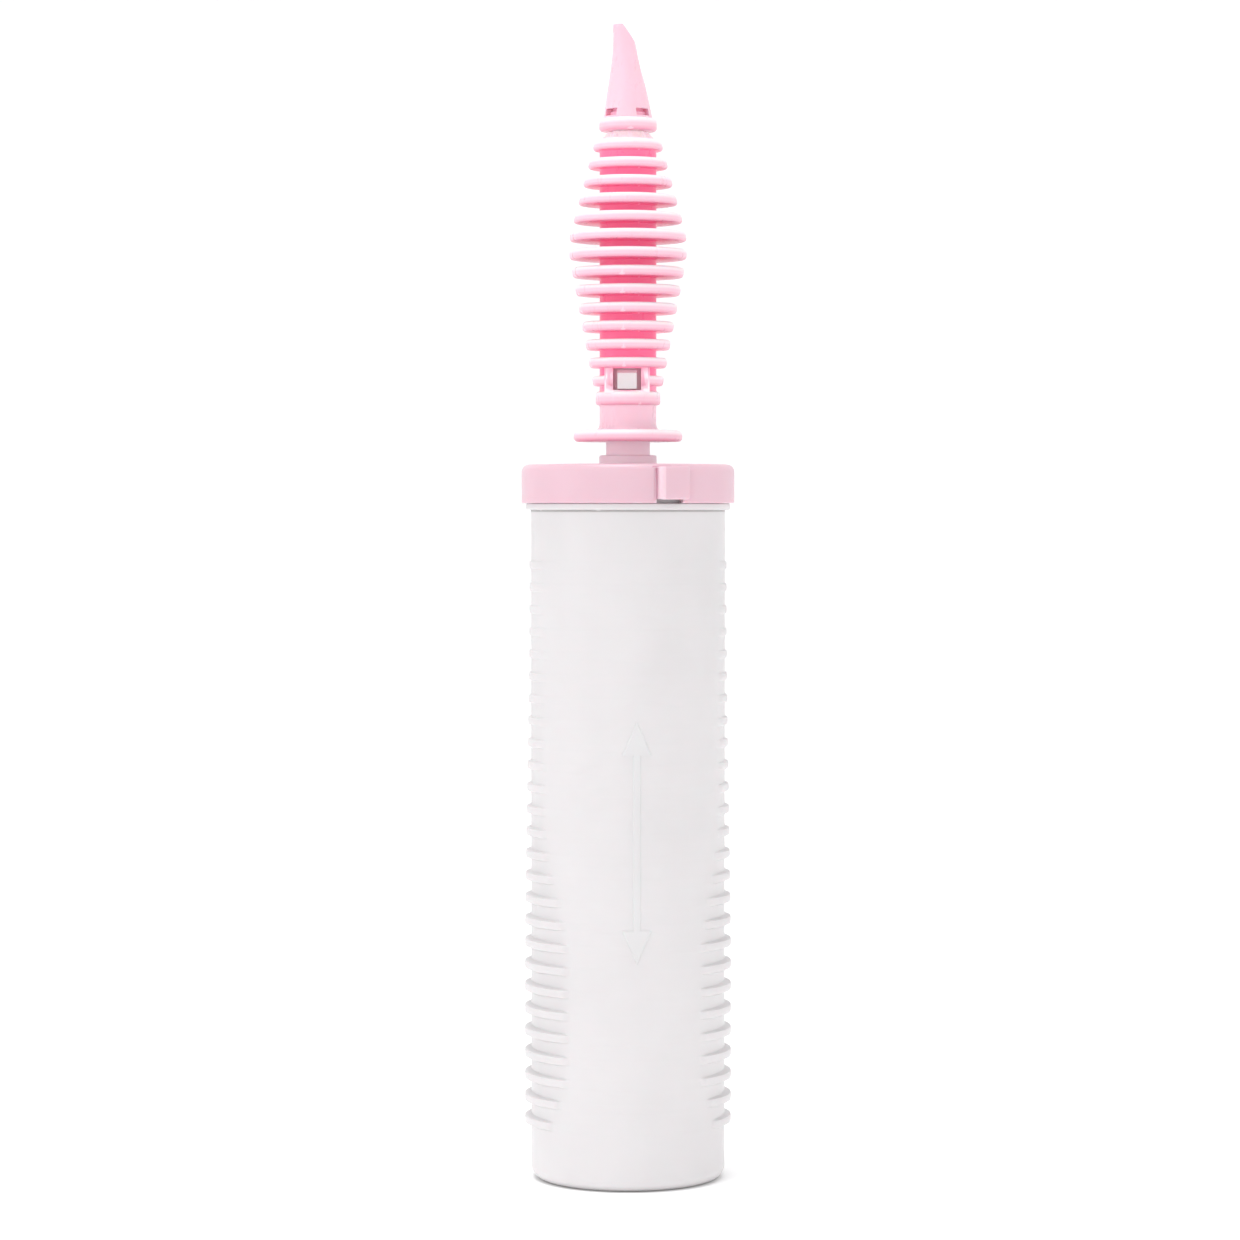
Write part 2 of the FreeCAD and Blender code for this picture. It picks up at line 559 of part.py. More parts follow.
def make_nozzle_cone():
    circles = []
    for z, radius, lean in CONE_SECTIONS:
        circles.append(Part.Wire([Part.Circle(V(-lean, 0, z), UP, radius).toShape()]))
    cone = Part.makeLoft(circles, True)
    base = turned([(0, NOZZLE_Z), (NOZZLE_BASE_R, NOZZLE_Z, 0.7), (NOZZLE_BASE_R, NOZZLE_BASE_TOP_Z, 0.7),
                   (6.0, NOZZLE_BASE_TOP_Z), (0, NOZZLE_BASE_TOP_Z)])
    groove_r, groove_low, groove_high = NOZZLE_GROOVE
    tip_lean = CONE_SECTIONS[-1][2]
    bore = turned([(0, NOZZLE_Z - 1), (NOZZLE_BORE_R, NOZZLE_Z - 1), (NOZZLE_BORE_R, groove_low),
                   (groove_r, groove_low), (groove_r, groove_high - 0.5), (NOZZLE_BORE_R, groove_high),
                   (NOZZLE_BORE_R, SPIKE_TOP_Z + 0.3), (0, SPIKE_TOP_Z + 0.3)])
    taper = Part.makeLoft([
        Part.Wire([Part.Circle(V(0, 0, SPIKE_TOP_Z), UP, NOZZLE_BORE_R - 0.5).toShape()]),
        Part.Wire([Part.Circle(V(-tip_lean, 0, TIP_TOP_Z + 1), UP, TIP_HOLE_R).toShape()])], True)
    window = sector(NOZZLE_BORE_R, NOZZLE_BASE_R, groove_low + 0.1, groove_high,
                    -SNAP_WINDOW_HALF_ANGLE, SNAP_WINDOW_HALF_ANGLE)
    first = -90 + SNAP_WINDOW_TURN + 180.0 / SNAP_WINDOWS
    cutter = Part.makeBox(20, 20, 20, V(0, -10, 0))
    cutter.rotate(ORIGIN, V(0, 1, 0), TIP_CUT_ANGLE)
    cutter.translate(V(TIP_EDGE_X, 0, TIP_TOP_Z))
    level = Part.makeBox(20, 20, 5, V(-10, -10, TIP_TOP_Z))
    return cone.fuse(base).cut([bore, taper, cutter, level] + around(window, SNAP_WINDOWS, first))


def make_nozzle_seal_ring():
    return round_ring(SPIKE_GROOVE_R + 0.03, SPIKE_CORD_R, sum(SPIKE_GROOVE_Z) / 2)


# ---- Export --------------------------------------------------------------------------------------------

PARTS = {
    "barrel_tube": make_barrel_tube,
    "base_plug": make_base_plug,
    "base_plug_seal": make_base_plug_seal,
    "base_valve_cage": make_base_valve_cage,
    "base_valve_disc": make_base_valve_disc,
    "cap_shell": make_cap_shell,
    "cap_gasket": make_cap_gasket,
    "gland_retainer": make_gland_retainer,
    "gland_ring": make_gland_ring,
    "piston_ring": make_piston_ring,
    "piston_hub": make_piston_hub,
    "piston_follower": make_piston_follower,
    "hub_seal_ring": make_hub_seal_ring,
    "rod_foot": make_rod_foot,
    "rod_clip": make_rod_clip,
    "pump_rod": make_pump_rod,
    "rod_head": make_rod_head,
    "finned_grip": make_finned_grip,
    "grip_seal_ring": make_grip_seal_ring,
    "nozzle_cone": make_nozzle_cone,
    "nozzle_seal_ring": make_nozzle_seal_ring,
}

os.makedirs("parts", exist_ok=True)
for name, make in PARTS.items():
    shape = make()
    shape.exportStep("parts/" + name + ".step")
    box = shape.BoundBox
    print("%-18s solids %d valid %s volume %8.1f mm3  z %.2f to %.2f" %
          (name, len(shape.Solids), shape.isValid(), shape.Volume, box.ZMin, box.ZMax))
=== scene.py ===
import json
import math

import bmesh
import bpy
from mathutils import Matrix, Vector


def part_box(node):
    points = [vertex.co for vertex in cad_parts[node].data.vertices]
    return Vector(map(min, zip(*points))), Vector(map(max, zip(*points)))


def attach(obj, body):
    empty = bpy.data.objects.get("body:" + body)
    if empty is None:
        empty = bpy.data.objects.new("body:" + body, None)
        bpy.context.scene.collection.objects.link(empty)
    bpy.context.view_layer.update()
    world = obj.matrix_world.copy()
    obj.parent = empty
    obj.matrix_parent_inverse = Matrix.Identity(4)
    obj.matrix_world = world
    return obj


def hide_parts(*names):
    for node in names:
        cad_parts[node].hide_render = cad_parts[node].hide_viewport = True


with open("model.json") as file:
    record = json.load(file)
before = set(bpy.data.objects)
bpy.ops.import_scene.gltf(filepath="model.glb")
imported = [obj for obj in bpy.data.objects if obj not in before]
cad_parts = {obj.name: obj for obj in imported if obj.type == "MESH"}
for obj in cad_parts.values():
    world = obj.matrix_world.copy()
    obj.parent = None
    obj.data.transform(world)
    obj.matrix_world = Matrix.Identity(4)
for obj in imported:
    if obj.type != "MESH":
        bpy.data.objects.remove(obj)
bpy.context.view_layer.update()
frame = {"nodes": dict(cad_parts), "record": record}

# Looks of the hand air pump. Sizes are in millimetres in the frame of the CAD model (foot at z = 0, front
# towards -Y) and become metres in mesh_object().
MM = 0.001


def top_of(node):
    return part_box(node)[1].z / MM


# ---- Driving sizes -------------------------------------------------------------------------------------

COLUMNS = 192                # round a turned piece
CAP_COLUMNS = 256
ROD_COLUMNS = 96
ARC_STEPS = 4                # segments in a rounded corner
OVERLAP = 0.1                # how far a cut or a colour reaches past the surface that it ends at
PAST = 1                     # how far a cutting box reaches out into the open

BARREL_R = 24.25
BORE_R = 22.5
NECK_R = 24.0
RIM_R = 25.5
RIM_Z = 167.5
RIM_TOP_Z = 169.1
RIM_ROW_Z = RIM_Z - 0.8      # last plain row of the wall
RIM_SHADE_Z = (RIM_Z - 0.5, RIM_Z + OVERLAP)     # the corner under the rim, with painted shade
RIM_SHADE_R = (BORE_R + 1, BARREL_R + 0.6)
MOUTH_Z = top_of("barrel_tube")
FOOT_HOLE_R = 19.0
FOOT_LEDGE_Z = 3.0
FOOT_ROUND = 3.2

RIB_COUNT = 26
RIB_FIRST_Z = 15.0
RIB_PITCH = 5.55
RIB_HALF_TOP = 0.85          # half the width of a rib's crest
RIB_DRAFT = 0.42             # how far a rib's flank leans out for each mm down from the crest
RIB_SOFT = 0.22              # softness of the fillet at a rib's root
RIB_SWEEP = 0.5              # how much of its height a rib loses towards its ends
RIB_END = 3.0                # half of the angle in which a rib's end runs out
RIB_BURIED = 0.2             # how far the line of its crest sinks under the wall beyond its ends
RIB_CROWN = 0.10             # how much lower the edges of its crest lie than the middle
RIB_FAR = 6.0                # depth of a flank at which the wall keeps its own radius
RIB_ROWS = (0.35, 0.65, 0.85, 1.05, 1.28, 1.5, 1.75, 2.2)     # mesh rows up and down from its middle
RIB_HEIGHT = (1.9, 0.65)
RIB_HEIGHT_Z = (50.0, 145.0)
RIB_SPREAD = (47.0, 27.0)
RIB_SPREAD_Z = (58.0, 92.0)
RIB_SPREAD_FIRST = 34.5
RIB_SPREAD_STEP = 6.0
BARREL_COLUMNS = 288

ARROW_Z = (56.0, 116.0)
ARROW_SHAFT_W = 2.0
ARROW_HEAD_W = 7.5
ARROW_HEAD_H = 8.5
ARROW_RELIEF = 0.22
ARROW_BURIED = 0.15
ARROW_INSET = 0.22           # how far its flanks lean in
ARROW_TIP_INSET = 1.6        # times that at its two tips

LUG_ANGLE = -71.0
CAP_R = 26.6
CAP_BOTTOM_Z = 169.15        # a little under the CAD's skirt, so that no dark gap shows above the rim
CAP_TOP_Z = 178.8
CAP_PLATE_Z = 177.2
CAP_ROUND = 1.8
SKIRT_BORE_R = 24.3
BOSS_R = 7.2
BOSS_TOP_Z = top_of("cap_shell")
LUG_WIDTH = 8.0
LUG_R = 28.5
LUG_Z = (170.0, 178.1)
LUG_HOLLOW_R = 27.0
LUG_HOLLOW_TOP_Z = 174.4
LUG_WALL = 1
LUG_ROUND = 0.6
LUG_SIDE_ROUND = 1.5
MOUTH_W = 7.0
MOUTH_SHIFT = -0.6
GROOVE_DEPTH = 0.6           # the groove in the skirt beside each lug
GROOVE_W = 0.8
GROOVE_TOP_GAP = 0.4
GROOVE_SHADE_W = 1.2          # width of the painted shade in it
GROOVE_SHADE_R = (CAP_R - 0.75, CAP_R - 0.3)
LUG_HIGHLIGHT_R = CAP_R + 0.5     # a lug's leading side has a painted highlight from here outwards
LUG_HIGHLIGHT_LEVEL = 0.65        # how strong that painted highlight is, between the cap's own colour at 0.5 and the palest at 0.8
AIR_SLOT_COUNT = 4
AIR_SLOT_R = 0.9

ROD_R = 5.5
ROD_BORE_R = 3.7
ROD_Z = (24.0, top_of("pump_rod"))
GUIDE_R = 5.58
AIR_SLOT_PLACE_R = GUIDE_R + 0.12

GUARD_R = 13.6
GUARD_Z = (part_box("finned_grip")[0].z / MM, 187.4)
COLLAR_R = 7.1
GRIP_BORE_R = 5.55
GRIP_INNER_R = 4.9
GRIP_STEP_Z = 206.5
ROD_PAINTED_GLOW_Z = (GUARD_Z[0] - 6.5, GUARD_Z[0] - 4.0)     # over this span, just under the guard, the rod takes on a painted pink highlight and a painted glow
BAND_Z = (193.6, 197.0)
BAND_R = 8.1
FIN_COUNT = 14
FIN_TOP_Z = 258.1
FIN_PITCH = 4.5
FIN_THICKNESS = 2.5
FIN_ROUND = 0.75
SPINDLE_LOW = (195.1, 8.1, 0.186)
SPINDLE_HIGH = (258.1, 8.6, 0.27)
CROWN_HALF = 4.0
WINDOW_ANGLE = 83.0
WINDOW_W = 7.0
WINDOW_Z = (197.2, 202.6)
FRAME_W = 11.2
FRAME_R = 7.3
NECK_GRIP_R = 4.5
NECK_TOP_Z = 261.6
SPIKE_R = 3.85
SPIKE_TOP_Z = 270.0
BEAD_R = 4.6
BEAD_Z = (265.5, 266.9)
AIR_R = 2.4
AIR_TAPER_Z = (254.0, 257.5)
GUSSET_COUNT = 8
GUSSET_T = 1.1
GUSSET_FAR_R = 7.4
GAP_EDGE = 0.5               # the painted shade between the fins starts this far inside their edges
GAP_LEAST = 1.6              # and takes at least this far to reach its deepest tone
GAP_CURVE = 0.8
NECK_SHADE_AMOUNT = 0.35            # how much of that painted shade the spigot and the nozzle's bore have

NOZZLE_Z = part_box("nozzle_cone")[0].z / MM
NOZZLE_BASE_R = 7.2
NOZZLE_BASE_TOP_Z = 264.9
NOZZLE_BORE_R = 4.0
NOZZLE_BORE_TOP_Z = 270.3
NOZZLE_ROUND = 0.7
NOZZLE_ROUND_STEPS = 5
CONE_FOOT_R = 6.25
CONE_ROWS = 40
CONE_BORE_R = 2.6            # the bore above the spigot, which narrows to the air hole
CONE_SECTIONS = (            # height, radius, lean of the section's centre towards -X
    (264.6, 6.2, 0.0),
    (272.4, 4.75, 0.25),
    (277.9, 3.6, 0.6),
    (283.3, 2.8, 0.9),
    (289.5, 2.1, 1.7),
)
TIP_TOP_Z = top_of("nozzle_cone")
TIP_EDGE_X = -1.5
TIP_ROUND = 0.5
TIP_CUT_ANGLE = 54.0
TIP_HOLE_R = 1.0
TIP_HOLE_Z = 284.0
TIP_HOLE_MARGIN = 0.25       # edges nearer to the hole than this stay sharp
TIP_EDGE_ANGLE = 25.0        # and so do edges that bend less than this
TIP_CUTTER = 10              # half the width of the boxes that cut the tip
SNAP_WINDOWS = 4
SNAP_WINDOW_Z = (265.4, 267.2)
SNAP_WINDOW_HALF_ANGLE = 21.0
SNAP_WINDOW_TURN = -9.0


# ---- Mesh helpers --------------------------------------------------------------------------------------

def mesh_object(name, points, faces):
    """Object from points in millimetres."""
    mesh = bpy.data.meshes.new(name)
    mesh.from_pydata([Vector(p) * MM for p in points], [], faces)
    mesh.validate()
    obj = bpy.data.objects.new(name, mesh)
    bpy.context.scene.collection.objects.link(obj)
    return obj


def tidy(obj, sharp_degrees=38.0):
    """Merges doubled points, faces every face outwards, and smooths all but the sharp edges."""
    bm = bmesh.new()
    bm.from_mesh(obj.data)
    bmesh.ops.remove_doubles(bm, verts=bm.verts, dist=1e-7)
    bmesh.ops.dissolve_degenerate(bm, edges=bm.edges, dist=1e-8)
    bmesh.ops.recalc_face_normals(bm, faces=bm.faces)
    bm.to_mesh(obj.data)
    bm.free()
    obj.data.shade_smooth()
    obj.data.set_sharp_from_angle(angle=math.radians(sharp_degrees))
    return obj


def rounded_path(points, steps=ARC_STEPS):
    """Points (radius, height) of a closed outline. A third number rounds that corner."""
    path = []
    count = len(points)
    for i, point in enumerate(points):
        here = Vector(point[:2])
        if len(point) < 3:
            path.append(here)
            continue
        back = (Vector(points[i - 1][:2]) - here).normalized()
        ahead = (Vector(points[(i + 1) % count][:2]) - here).normalized()
        half = back.angle(ahead) / 2
        inward = (back + ahead).normalized()
        centre = here + inward * (point[2] / math.sin(half))
        start = here + back * (point[2] / math.tan(half)) - centre
        end = here + ahead * (point[2] / math.tan(half)) - centre
        for k in range(steps + 1):
            path.append(centre + start.slerp(end, k / steps) * point[2])
    return path


def lathe(name, path, columns=COLUMNS, shift=None):
    """Turned solid. shift(radius, height, angle) may give each point its own radius."""
    points = []
    for radius, height in path:
        for c in range(columns):
            angle = 2 * math.pi * c / columns
            r = shift(radius, height, angle) if shift else radius
            points.append((r * math.cos(angle), r * math.sin(angle), height))
    faces = []
    rows = len(path)
    for i in range(rows):
        for c in range(columns):
            a, b = i * columns + c, i * columns + (c + 1) % columns
            d, e = (i + 1) % rows * columns + c, (i + 1) % rows * columns + (c + 1) % columns
            faces.append((a, b, e, d))
    return tidy(mesh_object(name, points, faces))


def box_object(name, low, high, bevel=0.0, angle=0.0):
    """Box between two corners, with rounded edges, turned about Z."""
    bm = bmesh.new()
    bmesh.ops.create_cube(bm, size=1.0)
    for vert in bm.verts:
        vert.co = Vector([low[i] + (vert.co[i] + 0.5) * (high[i] - low[i]) for i in range(3)])
    if bevel:
        bmesh.ops.bevel(bm, geom=bm.edges[:], offset=bevel, segments=4, profile=0.5, affect="EDGES")
    cos, sin = math.cos(math.radians(angle)), math.sin(math.radians(angle))
    for vert in bm.verts:
        x, y, z = vert.co
        vert.co = Vector((x * cos - y * sin, x * sin + y * cos, z)) * MM
    mesh = bpy.data.meshes.new(name)
    bm.to_mesh(mesh)
    bm.free()
    obj = bpy.data.objects.new(name, mesh)
    bpy.context.scene.collection.objects.link(obj)
    return obj


def rod_object(name, radius, start, end, segments=24):
    """Plain cylinder between two points."""
    start, end = Vector(start), Vector(end)
    turn = (end - start).to_track_quat("Z", "Y")
    length = (end - start).length
    points = []
    for z in (0, length):
        for c in range(segments):
            angle = 2 * math.pi * c / segments
            points.append(start + turn @ Vector((radius * math.cos(angle), radius * math.sin(angle), z)))
    faces = [tuple(range(segments)), tuple(range(segments, 2 * segments))]
    for c in range(segments):
        d = (c + 1) % segments
        faces.append((c, d, segments + d, segments + c))
    return tidy(mesh_object(name, points, faces))


def combine(obj, tools, operation):
    """Applies a boolean with each tool, then removes the tools."""
    for tool in tools:
        modifier = obj.modifiers.new("combine", "BOOLEAN")
        modifier.operation = operation
        modifier.solver = "EXACT"
        modifier.object = tool
    graph = bpy.context.evaluated_depsgraph_get()
    mesh = bpy.data.meshes.new_from_object(obj.evaluated_get(graph))
    obj.modifiers.clear()
    obj.data = mesh
    for tool in tools:
        bpy.data.objects.remove(tool)
    return tidy(obj)


def blend(low, high, value):
    t = min(max((value - low) / (high - low), 0.0), 1.0)
    return t * t * (3 - 2 * t)


def along(knots, z):
    """Smooth curve through (height, value) knots."""
    for i in range(len(knots) - 1):
        (z0, v0), (z1, v1) = knots[i], knots[i + 1]
        if z <= z1 or i == len(knots) - 2:
            break
    before = knots[max(i - 1, 0)]
    after = knots[min(i + 2, len(knots) - 1)]
    slope_0 = (v1 - before[1]) / (z1 - before[0])
    slope_1 = (after[1] - v0) / (after[0] - z0)
    t = (z - z0) / (z1 - z0)
    span = z1 - z0
    return ((2 * t ** 3 - 3 * t ** 2 + 1) * v0 + (t ** 3 - 2 * t ** 2 + t) * span * slope_0
            + (-2 * t ** 3 + 3 * t ** 2) * v1 + (t ** 3 - t ** 2) * span * slope_1)


# ---- Materials -----------------------------------------------------------------------------------------

class Nodes:
    """Short way to build a node tree."""

    def __init__(self, name):
        self.material = bpy.data.materials.new(name)
        self.material.use_nodes = True
        self.tree = self.material.node_tree
        self.shader = self.tree.nodes["Principled BSDF"]
        self.place = self.add("ShaderNodeTexCoord").outputs["Object"]

    def add(self, kind, **inputs):
        node = self.tree.nodes.new(kind)
        for key, value in inputs.items():
            self.set(node, key.replace("_", " "), value)
        return node

    def set(self, node, key, value):
        socket = node.inputs[key]
        if isinstance(value, bpy.types.NodeSocket):
            self.tree.links.new(value, socket)
        else:
            socket.default_value = value

    def noise(self, scale, detail=3.0, roughness=0.5, stretch=None):
        place = self.place
        if stretch:
            mapping = self.add("ShaderNodeMapping", Vector=place, Scale=stretch)
            place = mapping.outputs["Vector"]
        node = self.add("ShaderNodeTexNoise", Vector=place, Scale=scale, Detail=detail, Roughness=roughness)
        return node.outputs["Fac"]

    def field(self, name):
        """Number stored on the mesh's points."""
        node = self.add("ShaderNodeAttribute")
        node.attribute_name = name
        return node.outputs["Fac"]

    def fit(self, value, low, high, to_low, to_high):
        node = self.add("ShaderNodeMapRange", Value=value)
        for index, number in enumerate((low, high, to_low, to_high)):
            node.inputs[index + 1].default_value = number
        return node.outputs["Result"]

    def mix(self, factor, first, second):
        node = self.tree.nodes.new("ShaderNodeMix")
        node.data_type = "RGBA"
        for index, value in ((0, factor), (6, first), (7, second)):
            if isinstance(value, bpy.types.NodeSocket):
                self.tree.links.new(value, node.inputs[index])
            else:
                node.inputs[index].default_value = value
        return node.outputs[2]

    def bump(self, height, strength, distance, normal=None):
        node = self.add("ShaderNodeBump", Height=height, Strength=strength, Distance=distance)
        if normal is not None:
            self.set(node, "Normal", normal)
        return node.outputs["Normal"]


def rgb(red, green, blue):
    return (red, green, blue, 1.0)


def moulded_plastic(name, colour, wear_highlight, plate=None, deep=None, roughness=0.34, glow=(0.1, 0.0016),
                    painted_glow=0.0, grain=0.25):
    """Injection-moulded plastic: faint flow lines, fine grain, scuffs, and paler edges that stand for wear
    and also for a painted highlight.

    plate holds the colours of a plate's lower and upper edge: a painted shade below and a painted
    highlight above. deep is the painted shade between the plates. glow is the weight of the light that
    passes through the plastic, and how far it gets in metres. lit is the strength of a painted glow in the
    plastic's own colour, where the mesh marks it."""
    n = Nodes(name)
    clouds = n.noise(38.0, 4.0, 0.55)
    flow = n.noise(60.0, 3.0, 0.6, stretch=(1.0, 1.0, 0.12))
    fine = n.noise(2600.0, 2.0, 0.6)
    scuffs = n.noise(420.0, 5.0, 0.7, stretch=(1.0, 1.0, 0.35))

    def mottled(tone):
        """The tone, with clouds that are a little darker."""
        return n.mix(n.fit(clouds, 0.35, 0.65, 0.0, 1.0), rgb(*tone), rgb(*[c * CLOUD_TONE for c in tone]))

    body = mottled(colour)
    # painted shade towards a plate's lower edge and painted highlight towards its upper edge
    if plate is not None:
        level = n.field("painted_light_level")
        low, high = mottled(plate[0]), mottled(plate[1])
        lower_part = n.mix(n.fit(level, 0.0, 0.35, 0.0, 1.0), low, body)
        body = n.mix(n.fit(level, 0.5, 0.8, 0.0, 1.0), lower_part, high)
    # painted shade between the plates
    if deep is not None:
        body = n.mix(n.field("painted_gap_depth"), body, rgb(*deep))
    # painted glow in the plastic's own colour, where the mesh marks it
    if painted_glow:
        n.set(n.shader, "Emission Color", n.mix(n.field("painted_glow_mask"), rgb(0, 0, 0), body))
        n.shader.inputs["Emission Strength"].default_value = painted_glow
    # paler edges: wear, and also a painted highlight
    edges = n.add("ShaderNodeNewGeometry").outputs["Pointiness"]
    wear_highlight_edge = n.fit(edges, 0.52, 0.60, 0.0, 0.5)
    body = n.mix(wear_highlight_edge, body, rgb(*wear_highlight))
    n.set(n.shader, "Base Color", body)
    n.set(n.shader, "Roughness", n.fit(scuffs, 0.3, 0.75, roughness - 0.05, roughness + 0.09))
    n.shader.inputs["IOR"].default_value = 1.49
    n.shader.inputs["Specular IOR Level"].default_value = 0.5
    n.shader.inputs["Subsurface Weight"].default_value = glow[0]
    n.shader.inputs["Subsurface Scale"].default_value = glow[1]
    n.shader.inputs["Subsurface Radius"].default_value = GLOW_REACH
    broad = n.bump(flow, 0.25, 0.00012)
    n.set(n.shader, "Normal", n.bump(fine, grain, 0.00002, broad))
    return n.material


def seal_rubber(name, colour):
    """Matt rubber with a dusty bloom and a fine pitted skin."""
    n = Nodes(name)
    bloom = n.noise(240.0, 5.0, 0.65)
    pits = n.noise(3800.0, 3.0, 0.6)
    dusty = [min(1.0, c * 1.5 + 0.02) for c in colour]
    n.set(n.shader, "Base Color", n.mix(n.fit(bloom, 0.4, 0.7, 0.0, 0.7), rgb(*colour), rgb(*dusty)))
    n.set(n.shader, "Roughness", n.fit(bloom, 0.3, 0.7, 0.55, 0.8))
    n.set(n.shader, "Normal", n.bump(pits, 0.4, 0.00003))
    return n.material


# The paler edge colours stand for wear and also for a painted highlight on the plastics' edges.
CAP_PINK = (0.757, 0.505, 0.583)
CAP_PINK_WEAR_HIGHLIGHT = (0.86, 0.66, 0.72)
# painted shade (the groove beside each lug) and painted highlight (the boss, each lug's leading side) on the
# cap
CAP_PINK_SHADE = (0.62, 0.28, 0.39)
CAP_PINK_HIGHLIGHT = (0.94, 0.73, 0.80)
GRIP_PINK = (0.92, 0.585, 0.685)
GRIP_PINK_WEAR_HIGHLIGHT = (0.97, 0.78, 0.84)
# painted shade at the lower edges of the grip's plates and painted highlight at their upper edges
GRIP_PINK_SHADE = (0.80, 0.30, 0.43)
GRIP_PINK_HIGHLIGHT = (0.98, 0.86, 0.89)
# painted shade between the fins and inside the bores
GRIP_PINK_GAP_SHADE = (0.94, 0.19, 0.38)
WHITE = (0.712, 0.688, 0.696)
WHITE_WEAR_HIGHLIGHT = (0.79, 0.775, 0.78)
# painted shade in the corner under the barrel's rim
WHITE_SHADE = (0.42, 0.39, 0.39)
NATURAL = (0.76, 0.715, 0.73)
NATURAL_WEAR_HIGHLIGHT = (0.80, 0.76, 0.775)
# painted pink light on the rod just under the guard, standing for light bounced from the pink parts
NATURAL_PINK_BOUNCE = (0.90, 0.71, 0.78)
CLOUD_TONE = 0.965               # the plastic's cloudy patches are this much of its colour
GLOW_REACH = (1.0, 0.3, 0.4)     # red light gets furthest through the plastic

materials = {
    "white_shell": moulded_plastic("white_shell", WHITE, WHITE_WEAR_HIGHLIGHT, (WHITE_SHADE, WHITE), roughness=0.36),
    "pink_shell": moulded_plastic("pink_shell", CAP_PINK, CAP_PINK_WEAR_HIGHLIGHT, (CAP_PINK_SHADE, CAP_PINK_HIGHLIGHT),
                                  roughness=0.33, glow=(0.3, 0.002)),
    # the grip and the rod give off a painted glow of their own colour where the mesh marks it
    "pink_grip": moulded_plastic("pink_grip", GRIP_PINK, GRIP_PINK_WEAR_HIGHLIGHT, (GRIP_PINK_SHADE, GRIP_PINK_HIGHLIGHT),
                                 GRIP_PINK_GAP_SHADE, roughness=0.30, glow=(0.45, 0.0025), painted_glow=0.15),
    "clear_rod": moulded_plastic("clear_rod", NATURAL, NATURAL_WEAR_HIGHLIGHT, (NATURAL, NATURAL_PINK_BOUNCE), roughness=0.42,
                                 glow=(0.4, 0.002), painted_glow=0.13, grain=0.35),
    "natural_plastic": moulded_plastic("natural_plastic", NATURAL, NATURAL_WEAR_HIGHLIGHT, roughness=0.42,
                                       glow=(0.3, 0.002), grain=0.35),
    "seal_rubber": seal_rubber("seal_rubber", (0.012, 0.012, 0.013)),
    "silicone": seal_rubber("silicone", (0.62, 0.60, 0.57)),
}


def dress(obj, material, body, slot, *nodes):
    """Gives a made piece its material and its body, and hides the CAD nodes that it stands for. slot is not
    used.
    """
    obj.data.materials.clear()
    obj.data.materials.append(materials[material])
    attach(obj, body)
    if nodes:
        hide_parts(*nodes)
    return obj


def mark_points(obj, name, rule):
    """Stores rule(radius, height, angle) at each point of the mesh."""
    field = obj.data.attributes.new(name, "FLOAT", "POINT")
    for vert in obj.data.vertices:
        x, y, z = vert.co / MM
        field.data[vert.index].value = rule(math.hypot(x, y), z, math.atan2(y, x))


PLAIN_LEVEL = 0.5                # plate level of a surface that has the material's own colour, with no painted shade or highlight


def painted_light_level(plates):
    """Rule for how high a point lies on its plate, from 0 at the lower edge to 1 at the upper one. Low points
    get painted shade and high points a painted highlight.
    """
    def rule(radius, z, angle):
        for low, high, reach in plates:
            if low - 0.01 <= z <= high + 0.01 and radius > reach:
                return (z - low) / (high - low)
        return PLAIN_LEVEL
    return rule


# ---- Barrel --------------------------------------------------------------------------------------------

def rib_size(index):
    z = RIB_FIRST_Z + index * RIB_PITCH
    height = RIB_HEIGHT[0] + (RIB_HEIGHT[1] - RIB_HEIGHT[0]) * blend(*RIB_HEIGHT_Z, z)
    spread = RIB_SPREAD[0] + (RIB_SPREAD[1] - RIB_SPREAD[0]) * blend(*RIB_SPREAD_Z, z)
    return height, min(spread, RIB_SPREAD_FIRST + RIB_SPREAD_STEP * index)


def rib_crest(index, angle):
    """How far a rib stands out of the barrel. It is highest at the side and stops short at its ends."""
    height, spread = rib_size(index)
    from_side = math.degrees(math.acos(min(abs(math.cos(angle)), 1.0)))
    sweep = 1 - RIB_SWEEP * (from_side / spread) ** 2
    return height * sweep * (1 - blend(spread - RIB_END, spread + RIB_END, from_side)) - RIB_BURIED


def barrel_radius(radius, height, angle):
    """Radius of the ribbed barrel wall. Only the outer wall is changed."""
    if abs(radius - BARREL_R) > 1e-6:
        return radius
    index = round((height - RIB_FIRST_Z) / RIB_PITCH)
    if not 0 <= index < RIB_COUNT:
        return radius
    from_middle = abs(height - RIB_FIRST_Z - index * RIB_PITCH)
    flank = max(from_middle - RIB_HALF_TOP, 0.0) / RIB_DRAFT
    crown = RIB_CROWN * (from_middle / RIB_HALF_TOP) ** 2
    bead = rib_crest(index, angle) - crown - flank
    between_ribs = (math.hypot(RIB_SOFT, RIB_FAR) - RIB_FAR) / 2
    return radius + (bead + math.hypot(bead, RIB_SOFT)) / 2 - between_ribs


def barrel_painted_shade(radius, z, angle):
    """Painted shade in the corner under the rim."""
    shaded = RIM_SHADE_R[0] < radius < RIM_SHADE_R[1] and RIM_SHADE_Z[0] < z < RIM_SHADE_Z[1]
    return 0.0 if shaded else PLAIN_LEVEL


